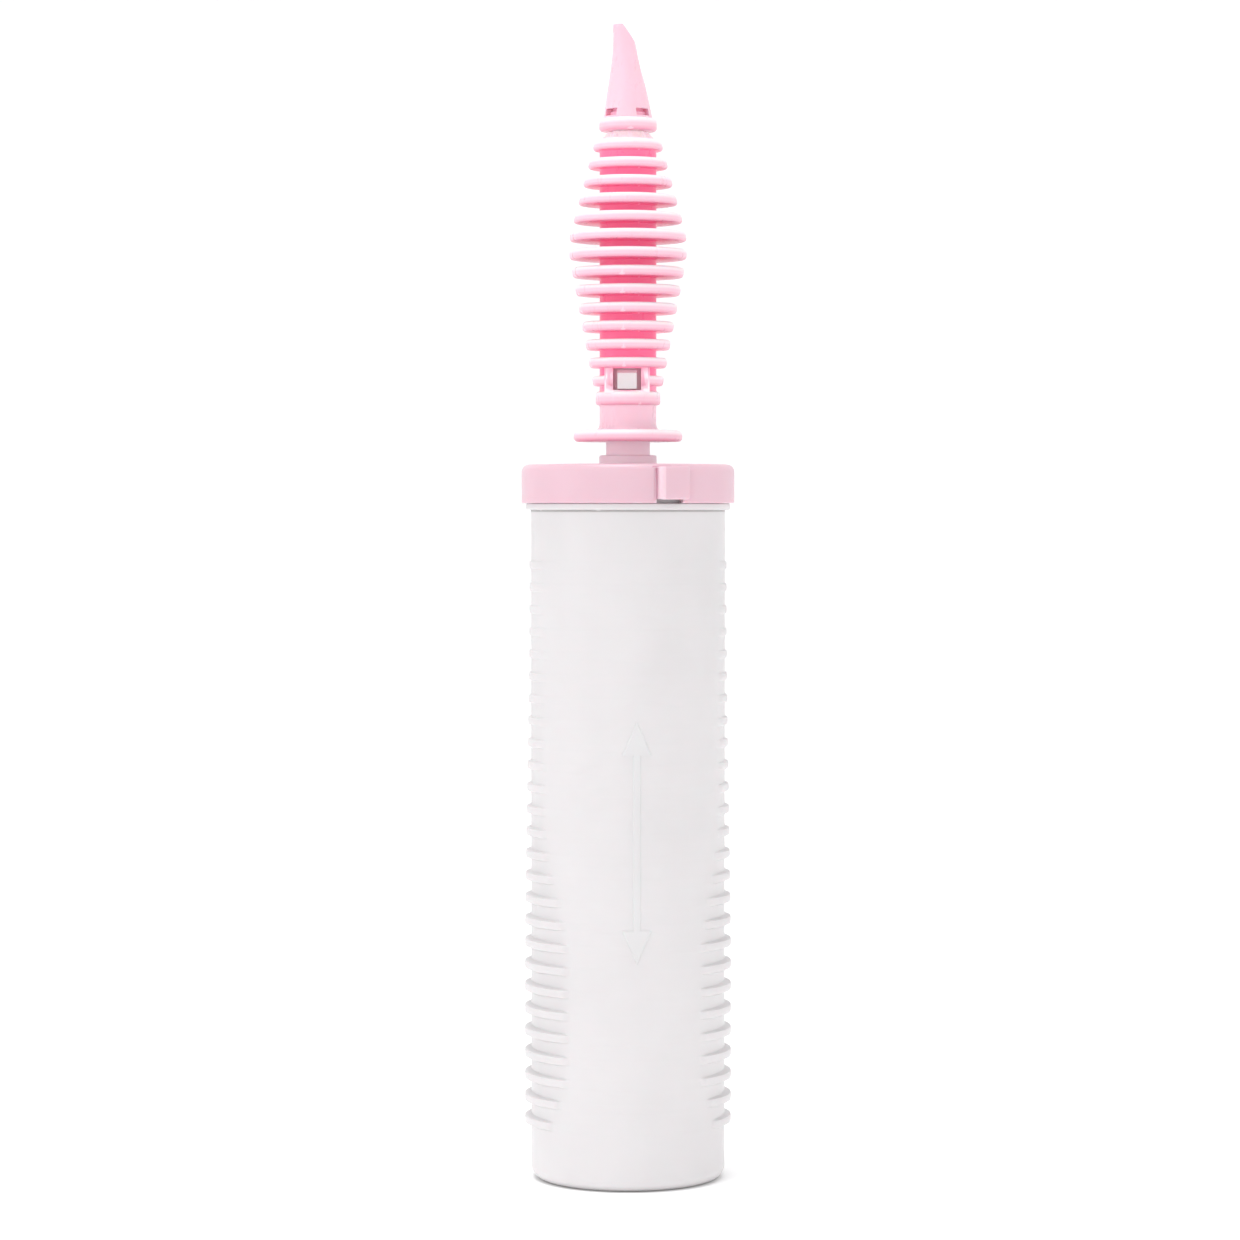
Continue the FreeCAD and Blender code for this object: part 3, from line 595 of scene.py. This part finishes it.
def make_barrel():
    corner_steps = 6
    row_offsets = [-RIB_PITCH / 2] + [-offset for offset in reversed(RIB_ROWS)] + [0.0, *RIB_ROWS]
    path = rounded_path([(FOOT_HOLE_R, 0, 0.4), (BARREL_R, 0, FOOT_ROUND), (BARREL_R, RIM_Z, 0.35),
                         (RIM_R, RIM_Z, 0.4), (RIM_R, RIM_TOP_Z, 0.3), (NECK_R, RIM_TOP_Z),
                         (NECK_R, MOUTH_Z, 0.4), (BORE_R, MOUTH_Z, 0.4), (BORE_R, FOOT_LEDGE_Z),
                         (FOOT_HOLE_R, FOOT_LEDGE_Z, 0.3)], steps=corner_steps)
    heights = []
    for index in range(RIB_COUNT):
        heights += [RIB_FIRST_Z + index * RIB_PITCH + offset for offset in row_offsets]
    heights.append(RIM_ROW_Z)
    wall_start = 2 * (corner_steps + 1)     # two rounded corners come before the straight wall
    wall = [Vector((BARREL_R, z)) for z in heights]
    path = path[:wall_start] + wall + path[wall_start:]
    barrel = lathe("barrel_shell", path, BARREL_COLUMNS, barrel_radius)
    mark_points(barrel, "painted_light_level", barrel_painted_shade)
    return dress(barrel, "white_shell", "barrel", "white_shell", "barrel_tube")


def make_stroke_arrow():
    """Low double-headed arrow, moulded on the front of the barrel."""
    low, high = ARROW_Z
    head_z = (low + ARROW_HEAD_H, high - ARROW_HEAD_H)
    shaft_length = head_z[1] - head_z[0]
    head_steps = 10
    shaft_steps = 20
    across = 12
    rows = [low + ARROW_HEAD_H * k / head_steps for k in range(head_steps + 1)]
    rows.append(head_z[0])
    rows += [head_z[0] + shaft_length * k / shaft_steps for k in range(shaft_steps + 1)]
    rows.append(head_z[1])
    rows += [head_z[1] + ARROW_HEAD_H * k / head_steps for k in range(head_steps + 1)]
    widths = [ARROW_HEAD_W / 2 * k / head_steps for k in range(head_steps + 1)]
    widths += [ARROW_SHAFT_W / 2] * (shaft_steps + 3)
    widths += [ARROW_HEAD_W / 2 * (head_steps - k) / head_steps for k in range(head_steps + 1)]
    points, faces = [], []
    for radius, inset in ((BARREL_R - ARROW_BURIED, 0.0), (BARREL_R + ARROW_RELIEF, ARROW_INSET)):
        for z, width in zip(rows, widths):
            half = max(width - inset, 0.02)
            z = min(max(z, low + inset * ARROW_TIP_INSET), high - inset * ARROW_TIP_INSET)
            for k in range(across + 1):
                angle = half * (2 * k / across - 1) / radius
                points.append((radius * math.sin(angle), -radius * math.cos(angle), z))
    stride = across + 1
    layer_size = stride * len(rows)
    for i in range(len(rows) - 1):
        for k in range(across):
            a = i * stride + k
            faces.append((a, a + stride, a + stride + 1, a + 1))
            a += layer_size
            faces.append((a, a + 1, a + stride + 1, a + stride))
        for k in (0, across):
            a = i * stride + k
            faces.append((a, a + stride, a + stride + layer_size, a + layer_size))
    for i in (0, len(rows) - 1):
        for k in range(across):
            a = i * stride + k
            faces.append((a, a + 1, a + 1 + layer_size, a + layer_size))
    arrow = tidy(mesh_object("stroke_arrow", points, faces), 60)
    mark_points(arrow, "painted_light_level", lambda radius, z, angle: PLAIN_LEVEL)
    return dress(arrow, "white_shell", "barrel", "white_shell")


# ---- Cap -----------------------------------------------------------------------------------------------

def make_lug(angle):
    """Block on the cap's side, with soft edges and one broad round on its leading side."""
    near, half = SKIRT_BORE_R + 1, LUG_WIDTH / 2
    bm = bmesh.new()
    outline = [(near, -half), (near, half)]
    for turn in range(ARC_STEPS * 2 + 1):
        a = math.radians(90 - 90 * turn / (ARC_STEPS * 2))
        outline.append((LUG_R - LUG_ROUND + LUG_ROUND * math.cos(a),
                        half - LUG_ROUND + LUG_ROUND * math.sin(a)))
    for turn in range(ARC_STEPS * 3 + 1):
        a = math.radians(-90 * turn / (ARC_STEPS * 3))
        outline.append((LUG_R - LUG_SIDE_ROUND + LUG_SIDE_ROUND * math.cos(a),
                        LUG_SIDE_ROUND - half + LUG_SIDE_ROUND * math.sin(a)))
    face = bm.faces.new([bm.verts.new((x, y, LUG_Z[0])) for x, y in outline])
    raised = bmesh.ops.extrude_face_region(bm, geom=[face])["geom"]
    bmesh.ops.translate(bm, vec=(0, 0, LUG_Z[1] - LUG_Z[0]),
                        verts=[item for item in raised if isinstance(item, bmesh.types.BMVert)])
    rims = [edge for edge in bm.edges if edge.verts[0].co.z == edge.verts[1].co.z
            and max(vert.co.x for vert in edge.verts) > near]
    bmesh.ops.bevel(bm, geom=rims, offset=LUG_ROUND, segments=4, profile=0.5, affect="EDGES")
    bm.transform(Matrix.Scale(MM, 4) @ Matrix.Rotation(math.radians(angle), 4, "Z"))
    mesh = bpy.data.meshes.new("lug")
    bm.to_mesh(mesh)
    bm.free()
    lug = bpy.data.objects.new("lug", mesh)
    bpy.context.scene.collection.objects.link(lug)
    return tidy(lug)


def cap_painted_light(radius, z, angle):
    """Painted highlight on the boss and on each lug's leading side, and painted shade in the groove beside
    each lug.
    """
    if z > CAP_TOP_Z + OVERLAP and radius < BOSS_R + OVERLAP:
        return 1.0
    for lug_angle in (LUG_ANGLE, LUG_ANGLE + 180):
        turn = angle - math.radians(lug_angle)
        across = radius * math.sin(turn)
        level_with_lug = LUG_Z[0] - OVERLAP < z < LUG_Z[1] + OVERLAP
        if math.cos(turn) > 0 and level_with_lug and radius > GROOVE_SHADE_R[0]:
            if radius < GROOVE_SHADE_R[1] and -LUG_WIDTH / 2 - GROOVE_SHADE_W < across < 0:
                return 0.0
            if radius > LUG_HIGHLIGHT_R and across < LUG_SIDE_ROUND - LUG_WIDTH / 2:
                return LUG_HIGHLIGHT_LEVEL
    return PLAIN_LEVEL


def make_cap():
    path = rounded_path([(GUIDE_R, CAP_PLATE_Z), (SKIRT_BORE_R, CAP_PLATE_Z),
                         (SKIRT_BORE_R, CAP_BOTTOM_Z, 0.2), (CAP_R, CAP_BOTTOM_Z, 0.3),
                         (CAP_R, CAP_TOP_Z, CAP_ROUND), (BOSS_R, CAP_TOP_Z, 0.6),
                         (BOSS_R, BOSS_TOP_Z, 0.5), (GUIDE_R, BOSS_TOP_Z, 0.3)], steps=5)
    cap = lathe("cap_body", path, CAP_COLUMNS)
    half = LUG_WIDTH / 2
    angles = (LUG_ANGLE, LUG_ANGLE + 180)
    lugs = [make_lug(angle) for angle in angles]
    cap = combine(cap, lugs, "UNION")
    cuts = []
    for angle in angles:
        cuts.append(box_object("hollow", (SKIRT_BORE_R - PAST, LUG_WALL - half, CAP_BOTTOM_Z - PAST),
                               (LUG_HOLLOW_R, half - LUG_WALL, LUG_HOLLOW_TOP_Z), 0, angle))
        cuts.append(box_object("mouth", (SKIRT_BORE_R - PAST, MOUTH_SHIFT - MOUTH_W / 2, CAP_BOTTOM_Z - PAST),
                               (CAP_R + PAST, MOUTH_SHIFT + MOUTH_W / 2, LUG_Z[0] + OVERLAP), 0, angle))
        cuts.append(box_object("beside", (CAP_R - GROOVE_DEPTH, -half - GROOVE_W, LUG_Z[0]),
                               (CAP_R + PAST, OVERLAP - half, LUG_Z[1] - GROOVE_TOP_GAP), 0, angle))
    for k in range(AIR_SLOT_COUNT):
        angle = math.radians(45 + 90 * k)
        x, y = AIR_SLOT_PLACE_R * math.cos(angle), AIR_SLOT_PLACE_R * math.sin(angle)
        cuts.append(rod_object("air_slot", AIR_SLOT_R, (x, y, CAP_PLATE_Z - PAST), (x, y, BOSS_TOP_Z + PAST)))
    cap = combine(cap, cuts, "DIFFERENCE")
    mark_points(cap, "painted_light_level", cap_painted_light)
    return dress(cap, "pink_shell", "cap", "pink_shell", "cap_shell")


# ---- Rod -----------------------------------------------------------------------------------------------

def make_rod():
    path = rounded_path([(ROD_BORE_R, ROD_Z[0], 0.2), (ROD_R, ROD_Z[0], 0.3), (ROD_R, ROD_PAINTED_GLOW_Z[0]),
                         (ROD_R, ROD_PAINTED_GLOW_Z[1]), (ROD_R, ROD_Z[1], 0.3), (ROD_BORE_R, ROD_Z[1], 0.2)])
    rod = lathe("rod_tube", path, ROD_COLUMNS)
    # Painted pink highlight and painted glow just under the guard, standing for light bounced from the pink
    # parts.
    mark_points(rod, "painted_light_level",
                lambda radius, z, angle: PLAIN_LEVEL + (1 - PLAIN_LEVEL) * blend(*ROD_PAINTED_GLOW_Z, z))
    mark_points(rod, "painted_glow_mask", lambda radius, z, angle: blend(*ROD_PAINTED_GLOW_Z, z))
    return dress(rod, "clear_rod", "rod", "natural_plastic", "pump_rod")


# ---- Grip ----------------------------------------------------------------------------------------------

def spindle_radius(z):
    """Two slopes that meet in a soft crown."""
    low_z, low_r, low_rise = SPINDLE_LOW
    high_z, high_r, high_rise = SPINDLE_HIGH
    peak_z = (high_r - low_r + high_rise * high_z + low_rise * low_z) / (low_rise + high_rise)
    if z > peak_z + CROWN_HALF:
        return high_r + high_rise * (high_z - z)
    into_crown = max(z - (peak_z - CROWN_HALF), 0.0)
    return low_r + low_rise * (z - low_z) - (low_rise + high_rise) / (4 * CROWN_HALF) * into_crown ** 2


def painted_gap_depth(radius, z, angle):
    """Painted shade between the fins: how deep a point lies between them, from 0 at their edges to 1 at the
    core.
    """
    if BAND_Z[1] - 0.5 < z < FIN_TOP_Z + FIN_THICKNESS / 2 - OVERLAP:
        edge = spindle_radius(z) - GAP_EDGE
        value = (edge - radius) / max(edge - COLLAR_R, GAP_LEAST)
        return min(max(value, 0.0), 1.0) ** GAP_CURVE
    return NECK_SHADE_AMOUNT if z > NECK_TOP_Z + OVERLAP else 0.0


def make_gusset(low_z, angle):
    """Thin upright web between the uppermost fin and the neck."""
    section = [(SPIKE_R, low_z - 0.4), (GUSSET_FAR_R, low_z - 0.4), (NECK_GRIP_R + 0.5, NECK_TOP_Z),
               (SPIKE_R, NECK_TOP_Z)]
    turn = Matrix.Rotation(math.radians(angle), 3, "Z")
    points = [turn @ Vector((x, y, z)) for y in (-GUSSET_T / 2, GUSSET_T / 2) for x, z in section]
    faces = [(0, 1, 2, 3), (4, 5, 6, 7)] + [(k, (k + 1) % 4, (k + 1) % 4 + 4, k + 4) for k in range(4)]
    return tidy(mesh_object("gusset", points, faces))


def make_grip():
    half = FIN_THICKNESS / 2
    points = [(GRIP_BORE_R, GUARD_Z[0], 0.3), (GUARD_R, GUARD_Z[0], 1.0), (GUARD_R, GUARD_Z[1], 1.3),
              (COLLAR_R, GUARD_Z[1], 1.3), (COLLAR_R, BAND_Z[0], 0.4), (BAND_R, BAND_Z[0], 0.7),
              (BAND_R, BAND_Z[1], 0.7)]
    for i in reversed(range(FIN_COUNT)):
        z = FIN_TOP_Z - i * FIN_PITCH
        points += [(COLLAR_R, points[-1][1], 0.35), (COLLAR_R, z - half, 0.35),
                   (spindle_radius(z - half), z - half, FIN_ROUND),
                   (spindle_radius(z + half), z + half, FIN_ROUND)]
    fin_top = FIN_TOP_Z + half
    points += [(NECK_GRIP_R + 0.3, fin_top + 1.1, 0.5), (NECK_GRIP_R, NECK_TOP_Z, 0.3),
               (SPIKE_R, NECK_TOP_Z), (SPIKE_R, BEAD_Z[0]), (BEAD_R, BEAD_Z[0], 0.2),
               (BEAD_R, BEAD_Z[1] - 0.6), (SPIKE_R, BEAD_Z[1]), (SPIKE_R, SPIKE_TOP_Z, 0.4),
               (AIR_R, SPIKE_TOP_Z, 0.3), (AIR_R, AIR_TAPER_Z[1]), (GRIP_INNER_R, AIR_TAPER_Z[0]),
               (GRIP_INNER_R, GRIP_STEP_Z), (GRIP_BORE_R, GRIP_STEP_Z)]
    grip = lathe("grip_body", rounded_path(points, steps=4), COLUMNS)
    frame_low, frame_high = BAND_Z[1], FIN_TOP_Z - (FIN_COUNT - 2) * FIN_PITCH - half
    sides = (WINDOW_ANGLE, WINDOW_ANGLE + 180)
    added = [box_object("frame", (GRIP_BORE_R + 0.4, -FRAME_W / 2, frame_low - 0.5),
                        (FRAME_R, FRAME_W / 2, frame_high + 0.3), 0, angle) for angle in sides]
    added += [make_gusset(fin_top, 360 * k / GUSSET_COUNT) for k in range(GUSSET_COUNT)]
    grip = combine(grip, added, "UNION")
    cuts = [box_object("window", (3.0, -WINDOW_W / 2, WINDOW_Z[0]),
                       (GUARD_R, WINDOW_W / 2, WINDOW_Z[1]), 0, angle) for angle in sides]
    cuts += [box_object("lowest_fin", (FRAME_R, -FRAME_W / 2, frame_low),
                        (GUARD_R, FRAME_W / 2, frame_high), 0, angle) for angle in sides]
    grip = combine(grip, cuts, "DIFFERENCE")
    # Painted shade towards the lower edges and painted highlight towards the upper edges of the guard, the
    # band and each fin; the same round the core under the top fin and on the neck above it.
    plates = [(*GUARD_Z, COLLAR_R + 2), (*BAND_Z, COLLAR_R + 0.3)]
    for i in range(FIN_COUNT):
        z = FIN_TOP_Z - i * FIN_PITCH
        plates.append((z - half, z + half, COLLAR_R + 0.3))
    plates.append((fin_top - 3, fin_top, 0))
    plates.append((fin_top - 6, NECK_TOP_Z, 0))
    mark_points(grip, "painted_light_level", painted_light_level(plates))
    mark_points(grip, "painted_gap_depth", painted_gap_depth)
    # Painted glow in the grip's own colour between the fins and above the top fin.
    mark_points(grip, "painted_glow_mask",
                lambda radius, z, angle: 1.0 if z > fin_top - OVERLAP else painted_gap_depth(radius, z, angle))
    return dress(grip, "pink_grip", "rod", "pink_shell", "finned_grip")


# ---- Nozzle --------------------------------------------------------------------------------------------

def round_tip(nozzle):
    """Softens the outer edges of the cut tip."""
    bm = bmesh.new()
    bm.from_mesh(nozzle.data)
    hole_x = -along([(z, lean) for z, radius, lean in CONE_SECTIONS], TIP_TOP_Z)
    rim = []
    for edge in bm.edges:
        middle = (edge.verts[0].co + edge.verts[1].co) / 2 / MM
        outside = math.hypot(middle.x - hole_x, middle.y) > TIP_HOLE_R + TIP_HOLE_MARGIN
        if middle.z > CONE_SECTIONS[3][0] - 0.5 and outside and edge.is_manifold:
            if edge.calc_face_angle() > math.radians(TIP_EDGE_ANGLE):
                rim.append(edge)
    bmesh.ops.bevel(bm, geom=rim, offset=TIP_ROUND * MM, segments=4, profile=0.5, affect="EDGES",
                    clamp_overlap=True)
    bm.to_mesh(nozzle.data)
    bm.free()
    tidy(nozzle)


def make_nozzle():
    radii = [(z, radius) for z, radius, lean in CONE_SECTIONS]
    leans = [(z, lean) for z, radius, lean in CONE_SECTIONS]
    top_z = CONE_SECTIONS[-1][0]
    edge_r = NOZZLE_BASE_R - NOZZLE_ROUND
    rings = [(NOZZLE_BORE_R, NOZZLE_Z), (edge_r, NOZZLE_Z)]
    for k in range(1, NOZZLE_ROUND_STEPS + 1):
        angle = math.radians(90 / NOZZLE_ROUND_STEPS * k)
        rings.append((edge_r + NOZZLE_ROUND * math.sin(angle),
                      NOZZLE_Z + NOZZLE_ROUND - NOZZLE_ROUND * math.cos(angle)))
    for k in range(NOZZLE_ROUND_STEPS + 1):
        angle = math.radians(90 / NOZZLE_ROUND_STEPS * k)
        rings.append((edge_r + NOZZLE_ROUND * math.cos(angle),
                      NOZZLE_BASE_TOP_Z - NOZZLE_ROUND + NOZZLE_ROUND * math.sin(angle)))
    rings.append((CONE_FOOT_R, NOZZLE_BASE_TOP_Z))
    for k in range(1, CONE_ROWS + 1):
        z = NOZZLE_BASE_TOP_Z + (top_z - NOZZLE_BASE_TOP_Z) * k / CONE_ROWS
        rings.append((along(radii, z), z))
    rings += [(TIP_HOLE_R, top_z), (TIP_HOLE_R, TIP_HOLE_Z), (CONE_BORE_R, NOZZLE_BORE_TOP_Z),
              (NOZZLE_BORE_R, NOZZLE_BORE_TOP_Z)]
    columns = 96
    points, faces = [], []
    for radius, z in rings:
        lean = along(leans, max(z, CONE_SECTIONS[0][0]))
        for c in range(columns):
            angle = 2 * math.pi * c / columns
            points.append((radius * math.cos(angle) - lean, radius * math.sin(angle), z))
    for i in range(len(rings)):
        following = (i + 1) % len(rings)
        for c in range(columns):
            d = (c + 1) % columns
            faces.append((i * columns + c, i * columns + d, following * columns + d, following * columns + c))
    nozzle = tidy(mesh_object("nozzle_body", points, faces))
    cuts = [box_object("level", (-TIP_CUTTER, -TIP_CUTTER, TIP_TOP_Z),
                       (TIP_CUTTER, TIP_CUTTER, TIP_TOP_Z + TIP_CUTTER / 2))]
    slant = box_object("slant", (0, -TIP_CUTTER, 0), (2 * TIP_CUTTER, TIP_CUTTER, 2 * TIP_CUTTER))
    slant.rotation_euler = (0, math.radians(TIP_CUT_ANGLE), 0)
    slant.location = Vector((TIP_EDGE_X, 0, TIP_TOP_Z)) * MM
    cuts.append(slant)
    for k in range(SNAP_WINDOWS):
        angle = -90 + SNAP_WINDOW_TURN + (k + 0.5) * 360 / SNAP_WINDOWS
        half = NOZZLE_BASE_R * math.sin(math.radians(SNAP_WINDOW_HALF_ANGLE)) * 0.8
        cuts.append(box_object("window", (NOZZLE_BORE_R - PAST, -half, SNAP_WINDOW_Z[0]),
                               (NOZZLE_BASE_R + PAST, half, SNAP_WINDOW_Z[1]), 0, angle))
    nozzle = combine(nozzle, cuts, "DIFFERENCE")
    round_tip(nozzle)
    # Painted shade towards the lower edge and painted highlight towards the upper edge of the nozzle's ring.
    mark_points(nozzle, "painted_light_level", painted_light_level([(NOZZLE_Z, NOZZLE_BASE_TOP_Z, NOZZLE_BASE_R - 0.9)]))

    # painted shade inside the nozzle's bore
    def bore_painted_shade(radius, z, angle):
        return NECK_SHADE_AMOUNT if radius < NOZZLE_BORE_R + OVERLAP and z < SPIKE_TOP_Z else 0.0

    mark_points(nozzle, "painted_gap_depth", bore_painted_shade)
    return dress(nozzle, "pink_grip", "nozzle", "pink_shell", "nozzle_cone")


make_barrel()
make_stroke_arrow()
make_cap()
make_rod()
make_grip()
make_nozzle()

# ---- CAD nodes that stay -------------------------------------------------------------------------------

for entry in frame["record"]["subparts"]:
    node = frame["nodes"][entry["node"]]
    node.data.materials.clear()
    node.data.materials.append(materials[entry["material_slot"]])

# ---- Stage, light and camera ---------------------------------------------------------------------------

CAMERA_TURN = -5.0           # degrees round the object from its front
CAMERA_DISTANCE = 0.931      # metres
EYE_HEIGHT = 0.1685
FRAME_WIDTH = 0.3104         # how much the picture spans at the object
AIM_HEIGHT = 0.1399
AIM_SIDE = -0.002            # how far the camera and its aim are moved to the right

FLOOR_R = 2.2                # metres, as is all of the stage
CURVE_R = 1.2                # round between the floor and the backdrop
CURVE_STEPS = 12
BACKDROP_TOP = 4.0
FLOOR_COLUMNS = 96
FLOOR_TONES = ((0.93, 0.93, 0.935), (0.95, 0.95, 0.95))
FLOOR_GLOW = 0.215
FOOT_SHADE_R = (20.5, 24.5)  # in millimetres: painted shadow on the floor under the foot's round edge
FOOT_SHADE = (0.34, 0.335, 0.32)
FOOT_SHADE_GLOW = (0.1, 0.1, 0.1)

LIGHT_AIM = Vector((0, 0, 0.14))
COOL = (0.98, 0.985, 1.0)
WORLD_STRENGTH = 0.46


def make_camera():
    turn = math.radians(CAMERA_TURN)
    right = Vector((math.cos(turn), math.sin(turn), 0))
    back = Vector((math.sin(turn), -math.cos(turn), 0))
    data = bpy.data.cameras.new("camera")
    data.lens = data.sensor_width * CAMERA_DISTANCE / FRAME_WIDTH
    data.clip_end = 50
    camera = bpy.data.objects.new("camera", data)
    bpy.context.scene.collection.objects.link(camera)
    eye = back * CAMERA_DISTANCE + Vector((0, 0, EYE_HEIGHT)) + right * AIM_SIDE
    aim = Vector((0, 0, AIM_HEIGHT)) + right * AIM_SIDE
    camera.location = eye
    camera.rotation_euler = (aim - eye).to_track_quat("-Z", "Y").to_euler()
    bpy.context.scene.camera = camera


def make_light(name, place, size, power, colour=(1, 1, 1)):
    data = bpy.data.lights.new(name, "AREA")
    data.shape = "RECTANGLE"
    data.size, data.size_y = size
    data.energy = power
    data.color = colour
    light = bpy.data.objects.new(name, data)
    bpy.context.scene.collection.objects.link(light)
    light.location = place
    light.visible_camera = False
    light.rotation_euler = (LIGHT_AIM - Vector(place)).to_track_quat("-Z", "Y").to_euler()


def make_stage():
    """Pale floor that curves up into a backdrop, all round the object so that every view has it."""
    path = [(0, 0), (FLOOR_R, 0)]
    for k in range(1, CURVE_STEPS + 1):
        angle = math.radians(90 * k / CURVE_STEPS)
        path.append((FLOOR_R + CURVE_R * math.sin(angle), CURVE_R - CURVE_R * math.cos(angle)))
    path.append((FLOOR_R + CURVE_R, BACKDROP_TOP))
    columns = FLOOR_COLUMNS
    points = []
    for r, z in path:
        for c in range(columns):
            angle = 2 * math.pi * c / columns
            points.append((r * math.cos(angle) / MM, r * math.sin(angle) / MM, z / MM))
    faces = []
    for i in range(len(path) - 1):
        for c in range(columns):
            d = (c + 1) % columns
            faces.append((i * columns + c, i * columns + d, (i + 1) * columns + d, (i + 1) * columns + c))
    floor = tidy(mesh_object("floor", points, faces))
    n = Nodes("floor")
    tone = n.mix(n.noise(3.0, 2.0), rgb(*FLOOR_TONES[0]), rgb(*FLOOR_TONES[1]))
    away = n.add("ShaderNodeVectorMath")
    away.operation = "LENGTH"
    n.set(away, "Vector", n.place)
    # painted shadow: the floor's colour and glow are darker under the foot
    open_floor = n.fit(away.outputs["Value"], FOOT_SHADE_R[0] * MM, FOOT_SHADE_R[1] * MM, 0.0, 1.0)
    n.set(n.shader, "Base Color", n.mix(open_floor, rgb(*FOOT_SHADE), tone))
    n.shader.inputs["Roughness"].default_value = 0.9
    n.shader.inputs["Specular IOR Level"].default_value = 0.1
    n.set(n.shader, "Emission Color", n.mix(open_floor, rgb(*FOOT_SHADE_GLOW), rgb(1, 1, 1)))
    n.shader.inputs["Emission Strength"].default_value = FLOOR_GLOW
    floor.data.materials.append(n.material)


def make_world():
    world = bpy.data.worlds.new("world")
    bpy.context.scene.world = world
    world.use_nodes = True
    background = world.node_tree.nodes["Background"]
    background.inputs["Color"].default_value = (1, 1, 1, 1)
    background.inputs["Strength"].default_value = WORLD_STRENGTH


make_camera()
make_stage()
make_world()
make_light("key", (-1.2, -1.2, 1.1), (0.9, 0.9), 2.2, COOL)
make_light("front", (-0.5, -1.75, 0.42), (0.8, 0.6), 1.0)
make_light("side", (-1.7, -0.5, 0.45), (0.8, 0.6), 2.0, COOL)
make_light("fill", (1.7, -0.5, 0.45), (0.8, 0.6), 1.2)
make_light("top", (-0.2, -0.1, 1.9), (0.8, 0.8), 15)
bpy.context.scene.view_settings.view_transform = "Standard"
